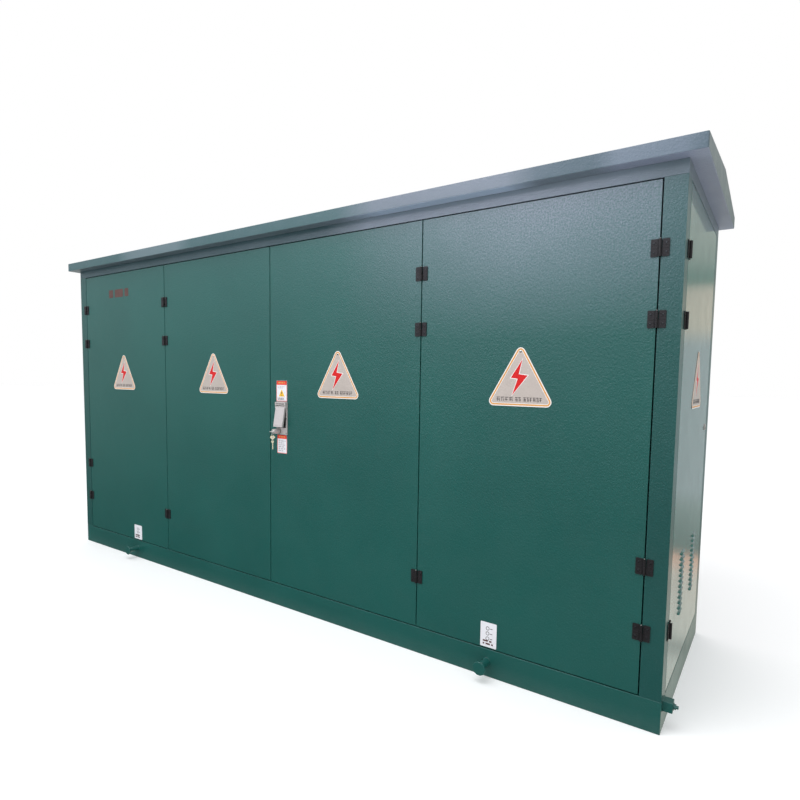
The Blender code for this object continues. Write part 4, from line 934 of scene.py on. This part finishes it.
def build_board_front():
    """The low-voltage board: meters, lamps and a selector, wiring ducts, terminals and an earth bar."""
    face, row, knob_x, bar_z = BOARD_FACE, 1.64, 1.67, 0.276
    dark, plates, ink = [], [], []
    for index, a in enumerate((1.06, 1.2, 1.34)):
        bezel, plate, marks = dial(a, row, face, 0.04, math.radians(50 - 20 * index), 0.05)
        dark.append(bezel)
        plates.append(plate)
        ink += marks
    places = (1.47, 1.53, 1.59)
    lamps = [dome(a, row, face, 0.013, 0.012) for a in places]
    dark += [washer(a, row, (0.017, 0.0135), 24, face + 0.0002, face + 0.005) for a in (*places, knob_x)]
    knob = [lathe(raised(face, [(0.0115, 0.022), (0.013, 0.0002)]), (knob_x, 0, row), "N", 24),
            box(around(knob_x, 0.003), (face + 0.02, face + 0.027), (1.63, 1.652))]
    piece("board_meters", "frame", {
        "dark_steel": dark, "white_dial": plates, "ink": ink, "control_black": knob, "yellow": lamps[:1],
        "green_coat": lamps[1:2], "header": lamps[2:]}, "front", bevel=0.0005)

    long, spans = (0.955, 1.745), ((0.895, 0.955), (0.43, 0.48))
    duct = [box(long, (face + 0.0002, face + 0.004), z) for z in spans]
    for low, high in spans:
        for left in (long[0] + 0.002 + 0.0246 * i for i in range(32)):
            duct += [box((left, left + 0.016), (face + 0.002, face + 0.042), z)
                     for z in ((low, low + 0.003), (high - 0.003, high))]
        duct.append(box(long, (face + 0.042, face + 0.046), (low - 0.001, high + 0.001)))
    blocks, terminals = [], []
    for left in (1.02 + 0.022 * i for i in range(28)):
        blocks.append(box((left, left + 0.02), (face + 0.0002, face + 0.03), (0.335, 0.375)))
        terminals += [screw(left + 0.01, b, face + 0.03, 0.0045) for b in (0.344, 0.366)]
    bar = box((1.02, 1.7), (face + 0.014, face + 0.02), around(bar_z, 0.014))
    post = raised(face, [(0.009, 0.0002), (0.009, 0.0141)])
    posts = [lathe(post, (a, 0, bar_z), "N", 16) for a in (1.06, 1.66)]
    studs = [dome(1.1 + 0.052 * i, bar_z, face + 0.02, 0.007, 0.006) for i in range(11)]
    corners = [screw(a, b, face, 0.008) for a in (0.925, 1.775) for b in (0.24, 1.0, 1.76)]
    piece("board_wiring", "frame", {
        "equipment_grey": duct, "ivory": blocks, "zinc": terminals + studs + corners, "copper": [bar],
        "epoxy": posts}, "front")


def build_breakers():
    """Mouldings on the main breaker and the feeder breakers: ribs, terminal wells, toggles and screws."""
    face, cheek = BREAKER_FACE, BREAKER_FACE + 0.012
    ribs = [box((left, left + 0.005), (face, face + 0.004), z)
            for left in (1.02 + 0.0132 * i for i in range(28)) for z in ((1.065, 1.13), (1.37, 1.435))]
    walls = [box(around(a, 0.003), (face, face + 0.01), z)
             for a in (1.1275, 1.2755) for z in ((1.06, 1.14), (1.36, 1.44))]
    slot_rim = border((1.165, 1.235), (1.19, 1.31), 0.0185, (0.006, 0.003), 4, cheek, cheek + 0.0025)
    button = dome(1.275, 1.18, cheek, 0.007, 0.006)
    strip = slab((1.285, 1.36), (1.215, 1.29), 0.003, 3, cheek, cheek + 0.0006)
    screws = [screw(a, b, cheek) for a in (1.045, 1.358) for b in (1.162, 1.338)]
    piece("main_breaker_details", "frame", {
        "moulding": ribs + walls, "control_black": [slot_rim], "red": [button], "plate_alloy": [strip],
        "zinc": screws}, "front", bevel=0.0003)

    face, nose, middle_z = FEEDER_FACE, FEEDER_FACE + 0.008, 0.65
    noses, black, screws, marks = [], [], [], []
    toggle = [(face + out, up) for out, up in ((0.009, 0.646), (0.009, 0.662), (0.03, 0.67), (0.03, 0.66))]
    for left in (1.02 + 0.142 * i for i in range(5)):
        middle, tall = left + 0.0525, around(middle_z, 0.02)
        noses.append(slab((left + 0.008, left + 0.097), around(middle_z, 0.045), 0.004, 3, face, nose))
        black.append(slab(around(middle, 0.016), tall, 0.003, 3, nose, nose + 0.0015))
        black.append(prism(toggle, *around(middle, 0.008), "X"))
        for a in (left + 0.02, middle, left + 0.085):
            for b in around(middle_z, 0.082):
                well = around(a, 0.011), around(b, 0.011)
                black.append(border(*well, 0.003, (0.003, 0.002), 3, face, face + 0.0025))
                screws.append(screw(a, b, face, 0.0065))
        marks.append(slab((left + 0.072, left + 0.092), tall, 0.002, 3, nose, nose + 0.0006))
    piece("feeder_details", "frame", {"moulding": noses, "control_black": black, "zinc": screws,
                                      "plate_alloy": marks}, "front", bevel=0.0003)


def build_end_lock_faces():
    """A triangular key socket in each end lock's head."""
    for end, side in (("left", -1), ("right", 1)):
        at, face = (side * (END_AXIS + END_LEAF - 0.055), 1.05), 0.0045
        well = prism(circle(*at, 0.0085, 28), face, face + 0.0003)
        rim = washer(*at, (0.0115, 0.0085), 28, face - 0.0002, face + 0.0008)
        core = prism(circle(*at, 0.0058, 3, math.radians(90)), face, face + 0.001)
        piece(f"end_lock_face_{end}", f"end_lock_{end}", {"control_black": [well], "zinc": [rim, core]}, end)


def build_rod_guides():
    """Staples on the third door's back that the locking rods slide in."""
    side, top, sheet, foot, thick = 0.0074, -0.0254, -0.0033, 0.0185, 0.0015
    half = [(foot, sheet), (foot, sheet - thick), (side + thick, sheet - thick), (side + thick, top - thick)]
    inner = [(-side, sheet), (-side, top), (side, top), (side, sheet)]
    outline = half + [(-a, b) for a, b in reversed(half)] + inner
    guides = [prism([(x + a, -HALF_D - b) for a, b in outline], *around(z, 0.012), "Z")
              for x, heights in ((0.092, (1.15, 1.5, 1.85)), (0.048, (0.25, 0.55, 0.85))) for z in heights]
    piece("rod_guides", "door_3", {"galvanised": guides}, bevel=0.0003)


build_hinges()
build_signs()
build_lock()
build_keys()
build_louvres()
build_fixings()
build_switchgear_front()
build_cable_fittings()
build_tank_fittings()
build_board_front()
build_breakers()
build_end_lock_faces()
build_rod_guides()


# ---------------------------------------------------------------- studio

def build_floor():
    look = Look("studio_floor", (0.86, 0.86, 0.86), 0.85, Emission_Color=(1.0, 1.0, 1.0, 1.0),
                Emission_Strength=0.11, Specular_IOR_Level=0.2)
    look.drive("Base Color", look.mix(look.noise(0.6, 3.0), (0.945, 0.945, 0.945), (0.96, 0.96, 0.96)))
    look.bump(look.noise(60.0, 3.0), 0.0004)
    mesh = bpy.data.meshes.new("studio_floor")
    corners = [(x * 60.0, y * 60.0, 0) for x, y in ((-1, -1), (1, -1), (1, 1), (-1, 1))]
    mesh.from_pydata(corners, [], [(0, 1, 2, 3)])
    mesh.materials.append(look.material)
    floor = bpy.data.objects.new("studio_floor", mesh)
    floor.location.z = -0.0005
    bpy.context.scene.collection.objects.link(floor)
    floor.visible_glossy = False


def build_lamp():
    data = bpy.data.lights.new("overhead", "AREA")
    data.shape, data.size, data.size_y = "RECTANGLE", 5.0, 3.0
    data.energy, data.color = 160, (0.95, 0.98, 1.0)
    lamp = bpy.data.objects.new("overhead", data)
    lamp.location = (0.5, -2.5, 5.5)
    lamp.rotation_euler = (Vector((0, 0, 1)) - lamp.location).to_track_quat("-Z", "Y").to_euler()
    bpy.context.scene.collection.objects.link(lamp)


AMBIENT = 0.95


def build_world():
    """White to the camera, an even soft light; gloss mirrors a lamp ahead, a dark floor and a pale room."""
    world = bpy.data.worlds.new("studio")
    bpy.context.scene.world = world
    world.use_nodes = True
    tree = world.node_tree
    tree.nodes.clear()

    def add(kind, inputs=(), **settings):
        node = tree.nodes.new(kind)
        for key, value in settings.items():
            setattr(node, key, value)
        for key, value in dict(inputs).items():
            if isinstance(value, bpy.types.NodeSocket):
                tree.links.new(value, node.inputs[key])
            else:
                node.inputs[key].default_value = value
        return node

    direction = add("ShaderNodeTexCoord").outputs["Generated"]
    split = add("ShaderNodeSeparateXYZ", {0: direction})

    def gradient(stops):
        ramp = add("ShaderNodeValToRGB", {0: add("ShaderNodeMapRange", {
            "Value": split.outputs["Z"], "From Min": -1.0, "From Max": 1.0}).outputs["Result"]})
        while len(ramp.color_ramp.elements) < len(stops):
            ramp.color_ramp.elements.new(0.5)
        for element, (height, colour) in zip(ramp.color_ramp.elements, stops):
            element.position, element.color = (height + 1) / 2, (*colour, 1.0)
        return ramp.outputs["Color"]

    def math_node(operation, a, b=0.0):
        return add("ShaderNodeMath", {0: a, 1: b}, operation=operation).outputs["Value"]

    def step(value, low, high):
        return add("ShaderNodeMapRange", {"Value": value, "From Min": low, "From Max": high},
                   interpolation_type="SMOOTHSTEP").outputs["Result"]

    def mix(factor, a, b):
        return add("ShaderNodeMix", {0: factor, 6: a, 7: b}, data_type="RGBA").outputs[2]

    ahead = gradient([(-1.0, (0.02, 0.02, 0.02)), (-0.22, (0.04, 0.045, 0.045)), (-0.06, (0.3, 0.33, 0.32)),
                      (0.04, (0.46, 0.5, 0.5)), (0.18, (0.5, 0.57, 0.6)), (0.45, (1.2, 1.25, 1.35)),
                      (1.0, (1.0, 1.0, 1.05))])
    behind = gradient([(-1.0, (0.6, 0.62, 0.57)), (-0.42, (0.68, 0.7, 0.64)), (-0.4, (0.38, 0.4, 0.37)),
                       (-0.38, (0.7, 0.71, 0.64)), (-0.3, (0.74, 0.7, 0.62)), (-0.275, (0.92, 0.6, 0.46)),
                       (-0.262, (0.22, 0.27, 0.25)), (-0.2, (0.34, 0.4, 0.38)), (-0.17, (0.44, 0.5, 0.51)),
                       (0.06, (0.45, 0.51, 0.52)), (0.088, (0.68, 0.64, 0.54)), (0.145, (0.65, 0.61, 0.52)),
                       (0.158, (0.18, 0.28, 0.25)), (0.19, (0.38, 0.44, 0.4)), (0.3, (0.56, 0.6, 0.56)),
                       (1.0, (0.95, 1.0, 1.05))])
    flat = math_node("ABSOLUTE", split.outputs["Y"])
    bearing = math_node("DIVIDE", split.outputs["X"], flat)
    across, deep = (math_node("MULTIPLY", part, part) for part in (split.outputs["X"], flat))
    level = math_node("SQRT", math_node("ADD", across, deep))
    lift = math_node("DIVIDE", split.outputs["Z"], level)
    sides = math_node("MULTIPLY", step(bearing, -1.1, -0.45), step(bearing, -0.12, -0.48))
    heights = math_node("MULTIPLY", step(lift, 0.1, 0.3), step(lift, 0.95, 0.6))
    panel = math_node("MULTIPLY", sides, heights)
    lamp = mix(panel, ahead, (5.6, 5.5, 6.6, 1.0))
    room = mix(step(split.outputs["Y"], -0.15, 0.15), lamp, behind)
    path = add("ShaderNodeLightPath").outputs
    ambient = mix(path["Is Glossy Ray"], (AMBIENT, AMBIENT, AMBIENT * 1.01, 1.0), room)
    colour = mix(path["Is Camera Ray"], ambient, (1.0, 1.0, 1.0, 1.0))
    shade = add("ShaderNodeBackground", {"Color": colour, "Strength": 1.0}).outputs[0]
    add("ShaderNodeOutputWorld", {"Surface": shade})


def build_camera():
    data = bpy.data.cameras.new("camera")
    data.lens, data.sensor_width = 25.0, 36.0
    data.shift_x, data.shift_y = -0.0062, 0.0271
    data.clip_start, data.clip_end = 0.05, 200.0
    camera = bpy.data.objects.new("camera", data)
    camera.location = (2.2919, -2.5845, 1.2547)
    camera.rotation_euler = [math.radians(a) for a in (85.585, -0.88, 34.114)]
    bpy.context.scene.collection.objects.link(camera)
    bpy.context.scene.camera = camera


build_floor()
build_world()
build_camera()
build_lamp()
bpy.context.scene.view_settings.view_transform = "Standard"
